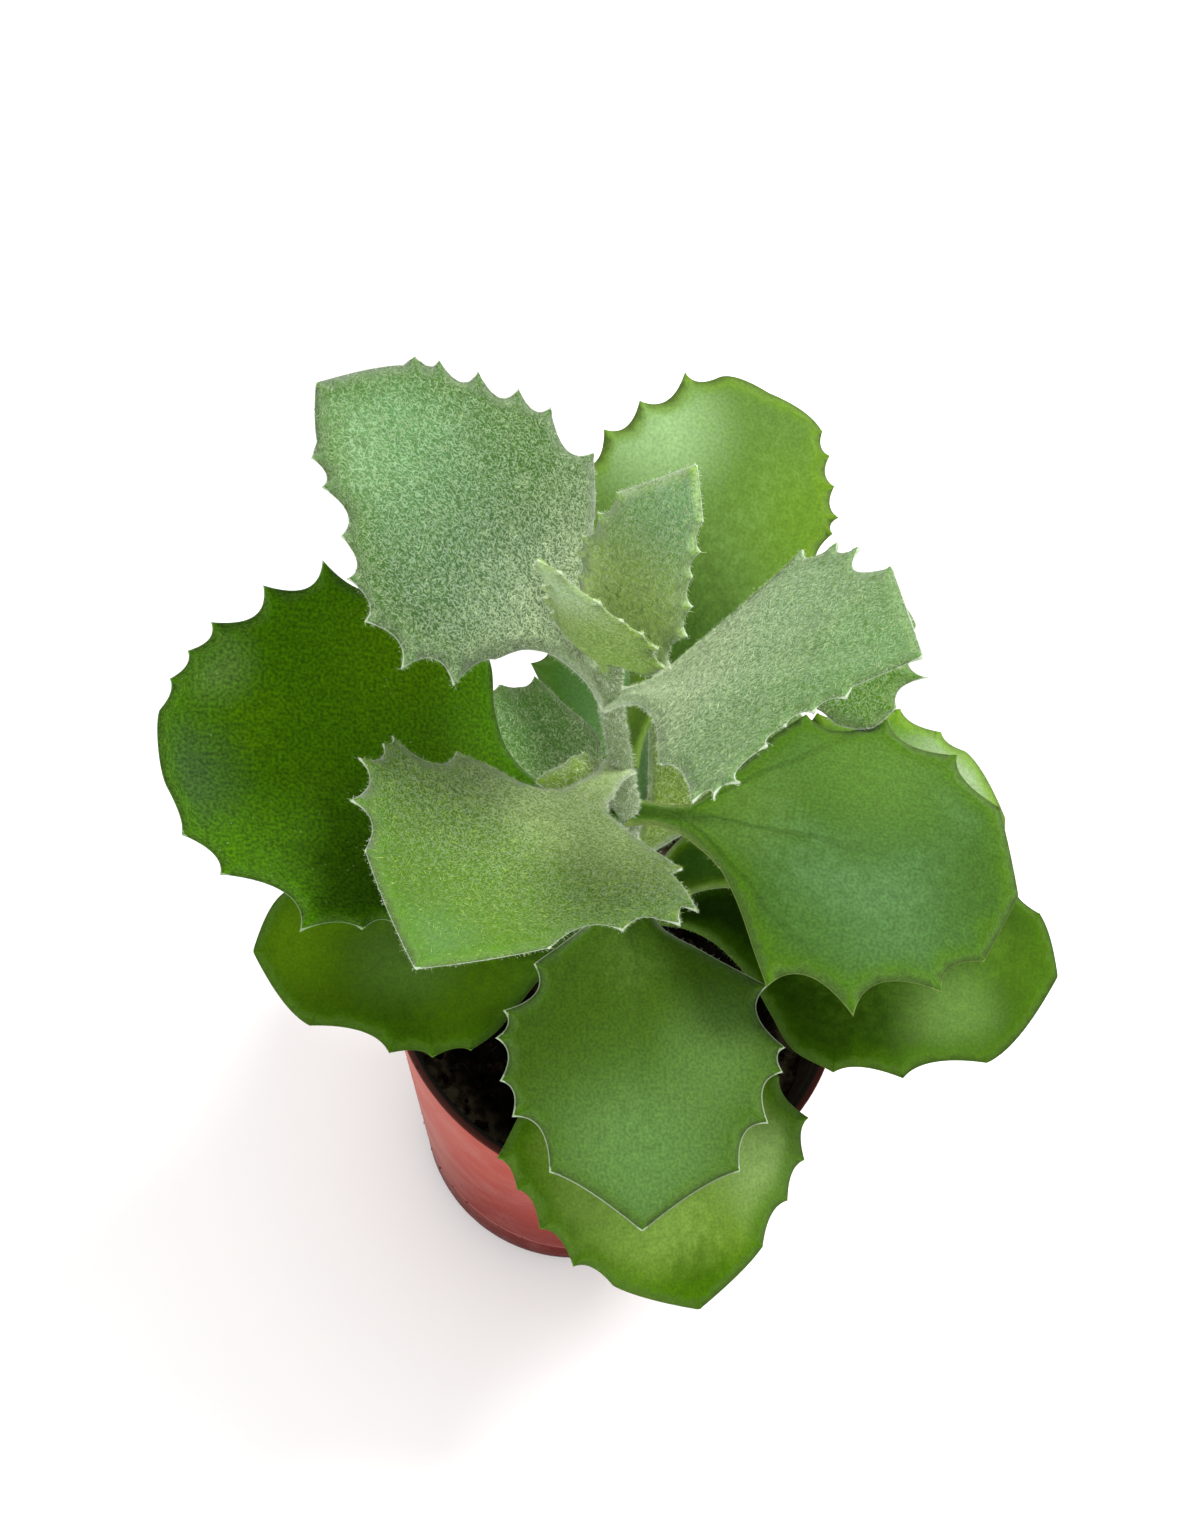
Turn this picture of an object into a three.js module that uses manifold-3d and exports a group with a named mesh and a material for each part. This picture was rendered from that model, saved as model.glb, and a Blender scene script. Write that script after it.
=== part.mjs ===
import * as THREE from 'three';
import { mergeVertices } from 'three/addons/utils/BufferGeometryUtils.js';
import Module from 'manifold-3d';

// A young felt-leaved succulent with toothed leaves, in a plastic nursery pot filled with peat.
// Units are millimetres, +Z is up, and the origin is the centre of the pot's flat underside.

// Driving dimensions

const gap = 0.3; // clearance between pieces that touch

const pot = {
  height: 53,
  rimRadius: 30,
  footRadius: 21.2,
  footHeight: 3.6,
  footStep: 0.6, // how far the wall stands out over the foot
  wall: 1.1,
  rimLip: 0.35, // the rim is this much thicker than the wall
  rimLipHeight: 2.4,
  floor: 1.6,
  sides: 48,
  drainHoles: 5,
  drainRadius: 2.6,
  drainCircle: 13.5,
};

const soil = {
  surface: 43, // mean height of the peat
  roughness: 0.9,
  rings: [5, 9.5, 14, 18.5, 22.5],
  stemClearance: 0.4,
};

// The stem's centre line from its buried end to the growing tip. Leaves grow at these nodes.
const stemNodes = {
  buriedEnd: [1.5, 2.5, 33],
  collar: [1.5, 2.5, 44],
  lowest: [0.5, 2.5, 60.5],
  low: [-0.5, 2.5, 66],
  lowSide: [-1, 2.5, 69],
  inner: [-2, 2.5, 74.5],
  middle: [-3, 2.5, 78],
  innerLeft: [-4, 2.5, 83],
  wide: [-5, 2.5, 91],
  axil: [-5.8, 2.5, 95],
  front: [-7, 2.5, 101],
  upper: [-10, 2.5, 114],
  young: [-11, 2.5, 120.5],
  growingTip: [-11.1, 2.5, 121.2],
};
const stemRadius = { bottom: 2.3, top: 1.3, tip: 0.9, swelling: 0.35, swellingSpan: 1.6 };
const stemShape = { sides: 10, rings: 44 };

const petiole = { halfWidth: 1.5, thickness: 2.2 };
const blade = { midThickness: 1.9, edgeThickness: 0.8, tipHalfWidth: 0.5 };
const stepsAcross = [0.5, 1]; // fractions of the half width where each row has a point
const stepsPerTooth = 4;
const toothLean = 0.28; // where the hollow between two teeth turns, from the tooth nearer the stem

// Leaves. heading is the compass angle from +X in degrees, rise the slope at the stem and at the
// tip, roll lifts the left margin, cup is the curvature across (1/mm, positive with raised margins).
// bite is the depth of the hollow between two teeth, as a share of their distance. A young leaf is
// thinner, and its midrib starts out millimetres away from its node.
// left and right list the margin from the stem to the tip as [along, out] in millimetres: each
// point is a tooth unless a third value gives the hollow before it its own bite (0 is straight).
const leaves = [
  {
    name: 'leaf_upper_left',
    node: 'upper', heading: 165, rise: [51, 20], roll: -1, cup: 0.008, bite: 0.32, length: 48.9,
    left: [[7, 2.1, 0], [10.5, 3.3, 0], [13.5, 5.6, 0], [16, 9.6, 0], [18.5, 16, 0.1], [24.5, 19.5],
      [30.5, 18.5], [34.5, 16], [37.5, 12.5], [42, 9.5], [44.5, 8]],
    right: [[7, 2.4, 0], [12, 6.5, 0], [17, 13.5, 0], [21, 17.5, 0], [28, 17.3, 0], [32, 16],
      [36.5, 14], [40.5, 11.5], [43, 9.5]],
  },
  {
    name: 'leaf_upper_right',
    node: 'upper', heading: -19, rise: [57, 47], roll: 2, cup: 0.003, bite: 0.3, length: 48.3,
    left: [[6, 2, 0], [11, 7, 0], [17, 14.5, 0], [20, 18.5, 0], [25.5, 18.5], [29.5, 17],
      [36.5, 12.5]],
    right: [[6, 2, 0], [11, 4.5, 0], [20, 13.5, 0], [29.5, 20, 0.1], [32, 20], [34.5, 17.5],
      [35, 12.5], [36.5, 9.5], [38.5, 8], [41.5, 7]],
  },
  {
    name: 'leaf_tall_back',
    node: 'front', heading: 83, rise: [45, 0], roll: 14, cup: -0.015, bite: 0.26, length: 49.3,
    left: [[10, 2.6, 0], [16, 9, 0], [23, 16, 0], [30, 17.2, 0], [35.5, 16], [40.5, 13.5],
      [46.5, 10], [48, 6]],
    right: [[10, 2.6, 0], [17, 8, 0], [24, 13, 0], [30.5, 15], [36.5, 14], [39, 14],
      [42.5, 12], [46, 10], [48.5, 8]],
  },
  {
    name: 'leaf_front_left',
    node: 'front', heading: 250, rise: [25, 23], roll: 8, cup: 0.024, bite: 0.3, length: 47.9,
    left: [[6, 2.1, 0], [9, 2.5, 0], [12.5, 7.5, 0], [17.5, 15, 0], [26, 21], [29, 20.5],
      [29.5, 18, 0.1], [31.5, 15], [37.5, 9.5]],
    right: [[6, 2.1, 0], [10.5, 3.5, 0], [12.5, 6.5, 0], [13.5, 10.5, 0], [15.5, 14.5, 0],
      [21.5, 20.5], [23.5, 20.5], [28, 21], [33.5, 18], [37.5, 13]],
  },
  {
    name: 'leaf_wide_left',
    node: 'wide', heading: 203, rise: [27, 13], roll: -10, cup: 0.025, bite: 0.32, length: 59.5,
    left: [[8, 2.6, 0], [13, 5, 0], [20, 13, 0], [26, 18], [33, 20.5], [38.5, 20.5],
      [45.5, 20.5], [52.5, 13], [56.5, 8]],
    right: [[8, 2, 0], [12, 2.1, 0], [16.3, 5.3, 0], [18.2, 9.8, 0], [19.2, 15, 0], [24, 21, 0], [32, 24.5],
      [41, 24.5], [47, 21], [52.5, 16.5], [55, 13]],
  },
  {
    name: 'leaf_wide_right',
    node: 'wide', heading: 2, rise: [17, -13], roll: 2, cup: -0.012, bite: 0.24, length: 48.6,
    left: [[7, 1.8, 0], [11.5, 6.8, 0], [15.5, 13, 0], [19.3, 17.8, 0], [29.5, 20], [38, 16.5],
      [45, 10]],
    right: [[7, 2.3, 0], [9.5, 3.8, 0], [12.5, 6.2, 0], [14.5, 9, 0], [18.5, 16.2, 0],
      [20.3, 19.3, 0], [31, 20.5], [41, 15.5], [45, 10]],
  },
  {
    name: 'leaf_mid_front',
    node: 'middle', heading: -75, rise: [14, -16], roll: -2, cup: 0.014, bite: 0.27, length: 47.3,
    left: [[6, 2.5, 0], [9, 3.5, 0], [12.5, 8, 0], [18, 16, 0], [26, 17.5], [29, 17],
      [35, 15], [40.5, 11.5]],
    right: [[6, 2.5, 0], [10.5, 6.5, 0], [16, 12.5, 0], [22.5, 16.5], [26, 17.5], [31, 17],
      [35, 15.5], [41, 11]],
  },
  {
    name: 'leaf_mid_back',
    node: 'inner', heading: 92, rise: [22, -2], roll: 0, cup: 0.006, bite: 0.24, length: 45,
    left: [[9, 2.7, 0], [14, 8, 0], [19, 14, 0], [24.4, 18.6, 0], [31, 17.5], [36.5, 14], [41, 9]],
    right: [[9, 2.4, 0], [14, 6, 0], [19, 11, 0], [23.9, 14.8], [31, 16.4], [36.5, 13.5],
      [41, 8.5]],
  },
  {
    name: 'leaf_inner_right',
    node: 'middle', heading: 60, rise: [33, 17], roll: -6, cup: 0.008, bite: 0.28, length: 48,
    left: [[7, 3, 0], [12, 7, 0], [18, 12.5, 0], [25, 15.5], [31, 16], [37, 14.5], [42.5, 10]],
    right: [[6, 2.4, 0], [11, 4.5, 0], [18, 6, 0], [24, 5.5, 0], [28.6, 3.1, 0], [29.9, 4.5, 0],
      [30.2, 7.5, 0], [34, 9.3, 0], [36.2, 12.8, 0.1], [41.5, 13.4], [46, 7.5]],
  },
  {
    name: 'leaf_inner_left',
    node: 'innerLeft', heading: 172, rise: [35, 25], roll: 0, cup: 0.01, bite: 0.28, length: 32,
    left: [[4.5, 2.2, 0], [8, 6, 0], [12, 11, 0], [17, 13.5], [22, 12.5], [27, 8.5]],
    right: [[4.5, 2.2, 0], [7, 6, 0], [9.5, 9.3, 0], [15.6, 10, 0], [21, 10.6, 0], [24.4, 6.8, 0.2],
      [28, 5]],
  },
  {
    name: 'leaf_low_left',
    node: 'lowSide', heading: 203.5, rise: [7, -13], roll: 2, cup: 0.001, bite: 0.14, length: 48.2,
    left: [[8, 2.6, 0], [13, 6, 0], [19, 13.5, 0], [23.5, 18, 0], [28.5, 18.5], [33.5, 17],
      [42.5, 11.5]],
    right: [[8, 2.6, 0], [13, 6, 0], [18, 13, 0], [23, 17.5, 0], [29, 18.5], [35, 16.5],
      [40, 12.5], [44, 7]],
  },
  {
    name: 'leaf_low_right',
    node: 'low', heading: 4.5, rise: [24, -12.5], roll: 4, cup: 0.001, bite: 0.11, length: 55.7,
    left: [[12, 2.7, 0], [18, 8, 0], [23, 14, 0], [29, 17.5], [36, 17.5], [43, 14.5],
      [48.8, 10], [52.4, 7.8]],
    right: [[8, 1.5, 0], [11, 1.5, 0], [13.8, 2.4, 0], [17, 6.5, 0], [19.4, 9.3, 0],
      [24.3, 17.3, 0], [28.1, 19.4, 0], [36.7, 18.6], [47.3, 14.2]],
  },
  {
    name: 'leaf_side_right',
    node: 'lowSide', heading: 25.5, rise: [23, 0], roll: 9, cup: 0.005, bite: 0.15, length: 49.5,
    left: [[6, 3.4, 0], [10, 4.6, 0], [16, 9, 0], [22, 14, 0], [29, 18], [36.5, 17.5], [39.5, 16.5],
      [44, 12.5], [46.5, 9.5]],
    right: [[6, 1.4, 0], [10, 1.3, 0], [13, 2, 0], [17, 6.5, 0], [22, 13, 0], [29, 17], [36, 16.5],
      [42, 12.5], [46, 8]],
  },
  {
    name: 'leaf_low_front',
    node: 'lowest', heading: -65, rise: [7, -36], roll: -5, cup: -0.006, bite: 0.16, length: 49.4,
    left: [[7, 2.6, 0], [12, 7, 0], [17, 12, 0], [21.8, 15.3, 0], [27.7, 18.4], [33.1, 16.8],
      [37.9, 13.6], [43.1, 9.4]],
    right: [[7, 2.6, 0], [12, 8, 0], [18, 16, 0], [26.9, 23.1, 0], [31, 21.2], [36.1, 19.1],
      [41.3, 15.5], [44.4, 10.8]],
  },
  {
    name: 'leaf_low_back',
    node: 'lowest', heading: 128, rise: [6, -20], roll: 0, cup: 0.004, bite: 0.18, length: 44,
    left: [[8, 2.6, 0], [13, 7, 0], [18, 13, 0], [24, 16.5], [30, 16.5], [35.5, 13.5],
      [40, 8.5]],
    right: [[8, 2.6, 0], [13, 7, 0], [18, 13, 0], [23.5, 16.5], [29, 17], [34.5, 14],
      [39.5, 9]],
  },
  {
    name: 'leaf_young_back',
    node: 'young', heading: 73, rise: [86, 50], roll: -16, cup: 0.02, bite: 0.25, length: 26.5,
    young: { out: 1.5 },
    left: [[2.6, 3.5, 0], [4.8, 6.5, 0], [7.2, 7.7, 0], [10.1, 8.7], [12.2, 8.7], [15.9, 8],
      [19.1, 6.9]],
    right: [[2.6, 3.5, 0], [5.3, 7.1, 0], [10.5, 7.6], [13.7, 6.7], [16.4, 5.2], [19.2, 4.9],
      [22, 3.6]],
  },
  {
    name: 'leaf_young_front',
    node: 'young', heading: 214, rise: [72, 60], roll: 40, cup: -0.004, bite: 0.2, length: 27,
    young: { out: 0.6 },
    left: [[3.2, 5.8, 0], [7.8, 8.9, 0], [12.7, 9.4], [15.3, 8.2], [16.8, 6.2], [19.9, 4.6],
      [25.4, 2.2]],
    right: [[3, 3.2, 0], [6, 4.4, 0], [9.8, 4.8, 0], [14, 4.4], [18.1, 3.2], [23.5, 1.8]],
  },
  {
    name: 'leaf_axil',
    node: 'axil', heading: 205, rise: [40, 10], roll: 0, cup: 0.03, bite: 0.15, length: 12.3,
    young: { out: 0 },
    left: [[3.6, 3.2, 0], [5.5, 4, 0], [7.5, 3.6], [10, 2.2]],
    right: [[3.6, 3.6, 0], [5.5, 4.3, 0], [7.5, 3.5], [10.3, 1.6]],
  },
];
const youngScale = { thickness: 0.75, petiole: 0.62 }; // young leaves are thinner than old ones

// Materials

const finishes = {
  potPlastic: { color: '#b3574c', roughness: 0.55, metalness: 0 },
  peat: { color: '#17110d', roughness: 0.95, metalness: 0 },
  feltStem: { color: '#a9b89b', roughness: 0.9, metalness: 0 },
  oldLeaf: { color: '#4f7d33', roughness: 0.6, metalness: 0 },
  feltLeaf: { color: '#7fa06f', roughness: 0.9, metalness: 0 },
};
const feltLeaves = ['leaf_upper_left', 'leaf_upper_right', 'leaf_front_left', 'leaf_inner_left',
  'leaf_inner_right', 'leaf_young_back', 'leaf_young_front', 'leaf_axil'];

// Solids and meshes

const wasm = await Module();
wasm.setup();

const group = new THREE.Group();

function addMesh(name, geometry, finish) {
  const mesh = new THREE.Mesh(geometry, new THREE.MeshStandardMaterial(finishes[finish]));
  mesh.name = name;
  group.add(mesh);
  return mesh;
}

function toSolid(geometry) {
  const bare = geometry.clone();
  bare.deleteAttribute('normal');
  bare.deleteAttribute('uv');
  const merged = mergeVertices(bare, 1e-4);
  return new wasm.Manifold(new wasm.Mesh({
    numProp: 3,
    vertProperties: new Float32Array(merged.attributes.position.array),
    triVerts: new Uint32Array(merged.index.array),
  }));
}

function toGeometry(solid) {
  const mesh = solid.getMesh();
  const geometry = new THREE.BufferGeometry();
  geometry.setAttribute('position', new THREE.BufferAttribute(mesh.vertProperties, 3));
  geometry.setIndex(new THREE.BufferAttribute(mesh.triVerts, 1));
  geometry.computeVertexNormals();
  return geometry;
}

function latheUp(profile, sides) {
  const points = profile.map(([radius, height]) => new THREE.Vector2(radius, height));
  const geometry = new THREE.LatheGeometry(points, sides);
  return geometry.rotateX(Math.PI / 2);
}

// Closed skin over a list of rings with equal numbers of points, its two ends fanned shut.
// From side mirrorFrom on, the squares are split along their other diagonal.
function loftRings(rings, mirrorFrom = Infinity) {
  const count = rings[0].length;
  const positions = [];
  const index = [];
  for (const ring of rings) {
    for (const point of ring) positions.push(point.x, point.y, point.z);
  }
  for (let row = 0; row < rings.length - 1; row += 1) {
    for (let side = 0; side < count; side += 1) {
      const next = (side + 1) % count;
      const a = row * count + side;
      const b = row * count + next;
      const c = a + count;
      const d = b + count;
      if (side < mirrorFrom) index.push(a, b, d, a, d, c);
      else index.push(a, b, c, b, d, c);
    }
  }
  const lastRow = (rings.length - 1) * count;
  for (let side = 1; side < count - 1; side += 1) {
    index.push(0, side + 1, side);
    index.push(lastRow, lastRow + side, lastRow + side + 1);
  }
  const geometry = new THREE.BufferGeometry();
  geometry.setAttribute('position', new THREE.Float32BufferAttribute(positions, 3));
  geometry.setIndex(index);
  geometry.computeVertexNormals();
  return geometry;
}

// Pot

function outerRadiusAt(height) {
  const wallFoot = pot.footRadius + pot.footStep;
  const share = (height - pot.footHeight) / (pot.height - pot.footHeight);
  return wallFoot + share * (pot.rimRadius - wallFoot);
}

function innerRadiusAt(height) {
  return outerRadiusAt(height) - pot.wall;
}

function makePot() {
  const lipFoot = pot.height - pot.rimLipHeight;
  const chamfer = 0.5;
  const shell = toSolid(latheUp([
    [0, 0],
    [pot.footRadius - chamfer, 0],
    [pot.footRadius, chamfer],
    [pot.footRadius, pot.footHeight - pot.footStep],
    [outerRadiusAt(pot.footHeight), pot.footHeight],
    [outerRadiusAt(lipFoot), lipFoot],
    [outerRadiusAt(pot.height), pot.height],
    [innerRadiusAt(pot.height) - pot.rimLip, pot.height],
    [innerRadiusAt(lipFoot) - pot.rimLip, lipFoot],
    [innerRadiusAt(lipFoot - 1), lipFoot - 1],
    [innerRadiusAt(pot.floor), pot.floor],
    [0, pot.floor],
  ], pot.sides));
  let solid = shell;
  for (let hole = 0; hole < pot.drainHoles; hole += 1) {
    const angle = (hole / pot.drainHoles) * Math.PI * 2;
    const cutter = new THREE.CylinderGeometry(pot.drainRadius, pot.drainRadius, pot.floor * 4, 16);
    cutter.rotateX(Math.PI / 2);
    cutter.translate(pot.drainCircle * Math.cos(angle), pot.drainCircle * Math.sin(angle), 0);
    solid = solid.subtract(toSolid(cutter));
  }
  return toGeometry(solid);
}

// Soil

function peatRelief(x, y) {
  const broad = Math.sin(x * 0.31 + 0.7) * Math.cos(y * 0.27 - 0.4);
  const fine = Math.sin(x * 0.93 - y * 0.71) * Math.sin(y * 0.83 + x * 0.39 + 1.3);
  return soil.roughness * (0.6 * broad + 0.5 * fine);
}

function makeSoil() {
  const edge = innerRadiusAt(soil.surface) - gap;
  const bottom = pot.floor + gap;
  const topRings = [...soil.rings].reverse().map((radius) => [radius, soil.surface]);
  const geometry = latheUp([
    [0, bottom],
    [innerRadiusAt(bottom) - gap, bottom],
    [edge, soil.surface],
    ...topRings,
    [0, soil.surface],
  ], pot.sides);
  const position = geometry.attributes.position;
  for (let i = 0; i < position.count; i += 1) {
    const x = position.getX(i);
    const y = position.getY(i);
    const onTop = position.getZ(i) > soil.surface - 1;
    if (onTop && Math.hypot(x, y) < edge - 1) position.setZ(i, soil.surface + peatRelief(x, y));
  }
  const [stemX, stemY, stemZ] = stemNodes.buriedEnd;
  const holeRadius = stemRadius.bottom + soil.stemClearance;
  const depth = soil.surface + 5 - (stemZ - gap);
  const hole = new THREE.CylinderGeometry(holeRadius, holeRadius, depth, 16);
  hole.rotateX(Math.PI / 2);
  hole.translate(stemX, stemY, stemZ - gap + depth / 2);
  return toGeometry(toSolid(geometry).subtract(toSolid(hole)));
}

// Stem

function nodePoint(name) {
  return new THREE.Vector3(...stemNodes[name]);
}

function stemRadiusAt(height) {
  const low = stemNodes.collar[2];
  const high = stemNodes.young[2];
  const share = THREE.MathUtils.clamp((height - low) / (high - low), 0, 1);
  let radius = THREE.MathUtils.lerp(stemRadius.bottom, stemRadius.top, share);
  for (const name of Object.keys(stemNodes).slice(2, -1)) {
    const away = (height - stemNodes[name][2] + 1) / stemRadius.swellingSpan;
    radius += stemRadius.swelling * (0.4 + 0.6 * (1 - share)) * Math.exp(-away * away);
  }
  const tipStart = stemNodes.growingTip[2] - 2;
  const taper = THREE.MathUtils.clamp((height - tipStart) / 2, 0, 1);
  return THREE.MathUtils.lerp(radius, stemRadius.tip, taper * taper);
}

const stemNodePoints = Object.keys(stemNodes).map(nodePoint);
const stemCurve = new THREE.CatmullRomCurve3(stemNodePoints, false, 'centripetal');
const stemLine = stemCurve.getSpacedPoints(4 * stemShape.rings);

function makeStem() {
  const rings = [];
  for (let step = 0; step <= stemShape.rings; step += 1) {
    const share = step / stemShape.rings;
    const centre = stemCurve.getPointAt(share);
    const along = stemCurve.getTangentAt(share);
    const sideways = new THREE.Vector3(0, 1, 0).cross(along).normalize();
    const across = along.clone().cross(sideways);
    const radius = stemRadiusAt(centre.z);
    const ring = [];
    for (let side = 0; side < stemShape.sides; side += 1) {
      const angle = (side / stemShape.sides) * Math.PI * 2;
      ring.push(centre.clone()
        .addScaledVector(sideways, radius * Math.cos(angle))
        .addScaledVector(across, radius * Math.sin(angle)));
    }
    rings.push(ring);
  }
  return loftRings(rings);
}

// Leaves

// A point of the leaf's middle surface: along the midrib, and out from it (left is positive).
function leafFrame(leaf, along) {
  const heading = THREE.MathUtils.degToRad(leaf.heading);
  const start = THREE.MathUtils.degToRad(leaf.rise[0]);
  const turn = THREE.MathUtils.degToRad(leaf.rise[1] - leaf.rise[0]) / leaf.length;
  const slope = start + turn * along;
  let reach = Math.cos(start) * along;
  let climb = Math.sin(start) * along;
  if (Math.abs(turn) > 1e-6) {
    reach = (Math.sin(slope) - Math.sin(start)) / turn;
    climb = (Math.cos(start) - Math.cos(slope)) / turn;
  }
  const forward = new THREE.Vector3(Math.cos(heading), Math.sin(heading), 0);
  const flatLeft = new THREE.Vector3(-Math.sin(heading), Math.cos(heading), 0);
  const flatUp = forward.clone().multiplyScalar(-Math.sin(slope));
  flatUp.z = Math.cos(slope);
  const roll = THREE.MathUtils.degToRad(leaf.roll);
  const left = flatLeft.clone().multiplyScalar(Math.cos(roll)).addScaledVector(flatUp, Math.sin(roll));
  const up = flatUp.clone().multiplyScalar(Math.cos(roll)).addScaledVector(flatLeft, -Math.sin(roll));
  const centre = nodePoint(leaf.node).addScaledVector(forward, reach + (leaf.young?.out ?? 0));
  centre.z += climb;
  return { centre, left, up };
}

function leafPoint(leaf, along, out, lift) {
  const { centre, left, up } = leafFrame(leaf, along);
  const bend = leaf.cup * out;
  const sideways = Math.abs(leaf.cup) < 1e-6 ? out : Math.sin(bend) / leaf.cup;
  const raised = Math.abs(leaf.cup) < 1e-6 ? 0 : (1 - Math.cos(bend)) / leaf.cup;
  const normalOut = -Math.sin(bend) * lift;
  const normalUp = Math.cos(bend) * lift;
  return centre.addScaledVector(left, sideways + normalOut).addScaledVector(up, raised + normalUp);
}

// Where the petiole's flat end face, moved out along the midrib, first stands clear of the stem.
function leafStart(leaf, halfWidth, thickness) {
  const clearance = (along) => {
    let least = Infinity;
    for (const out of [-halfWidth, 0, halfWidth]) {
      for (const lift of [-thickness / 2, 0, thickness / 2]) {
        const point = leafPoint(leaf, along, out, lift);
        for (const centre of stemLine) {
          least = Math.min(least, point.distanceTo(centre) - stemRadiusAt(centre.z));
        }
      }
    }
    return least;
  };
  let along = 0;
  while (clearance(along) < gap) along += 0.05;
  return along;
}

// One margin from the stem to the tip, with a hollow curve up to each tooth.
function leafMargin(leaf, start, halfWidth, teeth) {
  const points = [[start, halfWidth]];
  let [lastAlong, lastOut] = points[0];
  for (const [along, out, bite = leaf.bite] of teeth) {
    const stepAlong = along - lastAlong;
    const stepOut = out - lastOut;
    const middle = [
      lastAlong + toothLean * stepAlong + 2 * bite * stepOut,
      lastOut + toothLean * stepOut - 2 * bite * stepAlong,
    ];
    const steps = bite === 0 ? 1 : stepsPerTooth;
    for (let step = 1; step <= steps; step += 1) {
      const t = step / steps;
      const mix = (a, b, c) => (1 - t) * (1 - t) * a + 2 * t * (1 - t) * b + t * t * c;
      points.push([mix(lastAlong, middle[0], along), mix(lastOut, middle[1], out)]);
    }
    [lastAlong, lastOut] = [along, out];
  }
  points.push([leaf.length, blade.tipHalfWidth]);
  return points;
}

// Splits the longest steps of the shorter margin until both have the same number of points.
function matchLengths(first, second) {
  const [short, long] = first.length < second.length ? [first, second] : [second, first];
  while (short.length < long.length) {
    let widest = 0;
    let split = 1;
    for (let i = 1; i < short.length; i += 1) {
      const step = Math.hypot(short[i][0] - short[i - 1][0], short[i][1] - short[i - 1][1]);
      if (step > widest) [widest, split] = [step, i];
    }
    const [a, b] = [short[split - 1], short[split]];
    short.splice(split, 0, [(a[0] + b[0]) / 2, (a[1] + b[1]) / 2]);
  }
}

function makeLeaf(leaf) {
  const size = leaf.young ? youngScale : { thickness: 1, petiole: 1 };
  const petioleThickness = petiole.thickness * size.petiole;
  const petioleHalfWidth = petiole.halfWidth * size.petiole;
  const start = leafStart(leaf, petioleHalfWidth, petioleThickness);
  const left = leafMargin(leaf, start, petioleHalfWidth, leaf.left);
  const right = leafMargin(leaf, start, petioleHalfWidth, leaf.right);
  matchLengths(left, right);
  const rings = left.map(([leftAlong, leftOut], row) => {
    const [rightAlong, rightOut] = right[row];
    const midAlong = (leftAlong + rightAlong) / 2;
    const ageing = THREE.MathUtils.smoothstep(midAlong, start, start + 0.3 * leaf.length);
    const middle = THREE.MathUtils.lerp(petioleThickness, blade.midThickness * size.thickness, ageing);
    const edge = blade.edgeThickness;
    const toTip = THREE.MathUtils.smoothstep(midAlong, 0.75 * leaf.length, leaf.length);
    const halfAt = (fraction) => {
      const thickness = THREE.MathUtils.lerp(middle, edge, Math.max(fraction ** 2, toTip));
      return thickness / 2;
    };
    const place = (fraction, side, face) => {
      const [along, out] = side > 0 ? [leftAlong, leftOut] : [rightAlong, -rightOut];
      const alongHere = THREE.MathUtils.lerp(midAlong, along, fraction);
      return leafPoint(leaf, alongHere, out * fraction, face * halfAt(fraction));
    };
    const inward = [...stepsAcross].reverse();
    return [
      ...inward.map((fraction) => place(fraction, 1, 1)),
      place(0, 1, 1),
      ...stepsAcross.map((fraction) => place(fraction, -1, 1)),
      ...inward.map((fraction) => place(fraction, -1, -1)),
      place(0, 1, -1),
      ...stepsAcross.map((fraction) => place(fraction, 1, -1)),
    ];
  });
  return loftRings(rings, rings[0].length / 2);
}

addMesh('pot', makePot(), 'potPlastic');
addMesh('soil', makeSoil(), 'peat');
addMesh('stem', makeStem(), 'feltStem');
for (const leaf of leaves) {
  addMesh(leaf.name, makeLeaf(leaf), feltLeaves.includes(leaf.name) ? 'feltLeaf' : 'oldLeaf');
}

export default group;
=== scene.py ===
import math
import bmesh
import bpy
import numpy as np
from mathutils import Matrix, Vector
from mathutils.geometry import delaunay_2d_cdt


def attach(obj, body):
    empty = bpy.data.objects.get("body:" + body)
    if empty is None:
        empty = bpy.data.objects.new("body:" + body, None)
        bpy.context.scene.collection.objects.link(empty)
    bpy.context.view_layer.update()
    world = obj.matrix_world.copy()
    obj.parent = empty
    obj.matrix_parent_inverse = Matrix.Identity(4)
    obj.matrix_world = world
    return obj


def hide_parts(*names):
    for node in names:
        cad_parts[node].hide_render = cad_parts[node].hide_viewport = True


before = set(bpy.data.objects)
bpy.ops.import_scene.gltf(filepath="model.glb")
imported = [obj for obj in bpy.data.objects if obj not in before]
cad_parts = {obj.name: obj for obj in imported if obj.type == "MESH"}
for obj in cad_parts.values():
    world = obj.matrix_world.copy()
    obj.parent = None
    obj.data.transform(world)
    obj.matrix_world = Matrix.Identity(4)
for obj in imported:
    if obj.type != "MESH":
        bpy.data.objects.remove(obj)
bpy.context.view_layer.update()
print("frame loaded:", len(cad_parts), "nodes")

# Tables are in millimetres, the scene is in metres.
mm = 0.001
noiseCells = 4096  # a power of two
dice = np.random.default_rng(21)
noiseTable = np.random.default_rng(5).uniform(-1, 1, noiseCells)
scene = bpy.context.scene
scene.view_settings.view_transform = "Standard"

# The camera looks down from the front and is rolled to the right.
cameraView = {
    "spot": (-0.00933, -0.14141, 0.33902),
    "tilt": 31.0,  # degrees up from looking straight down
    "roll": 15.0,
    "lens": 56.36,
    "sensor": 36.0,
    "clipStart": 0.01,
}


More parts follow.
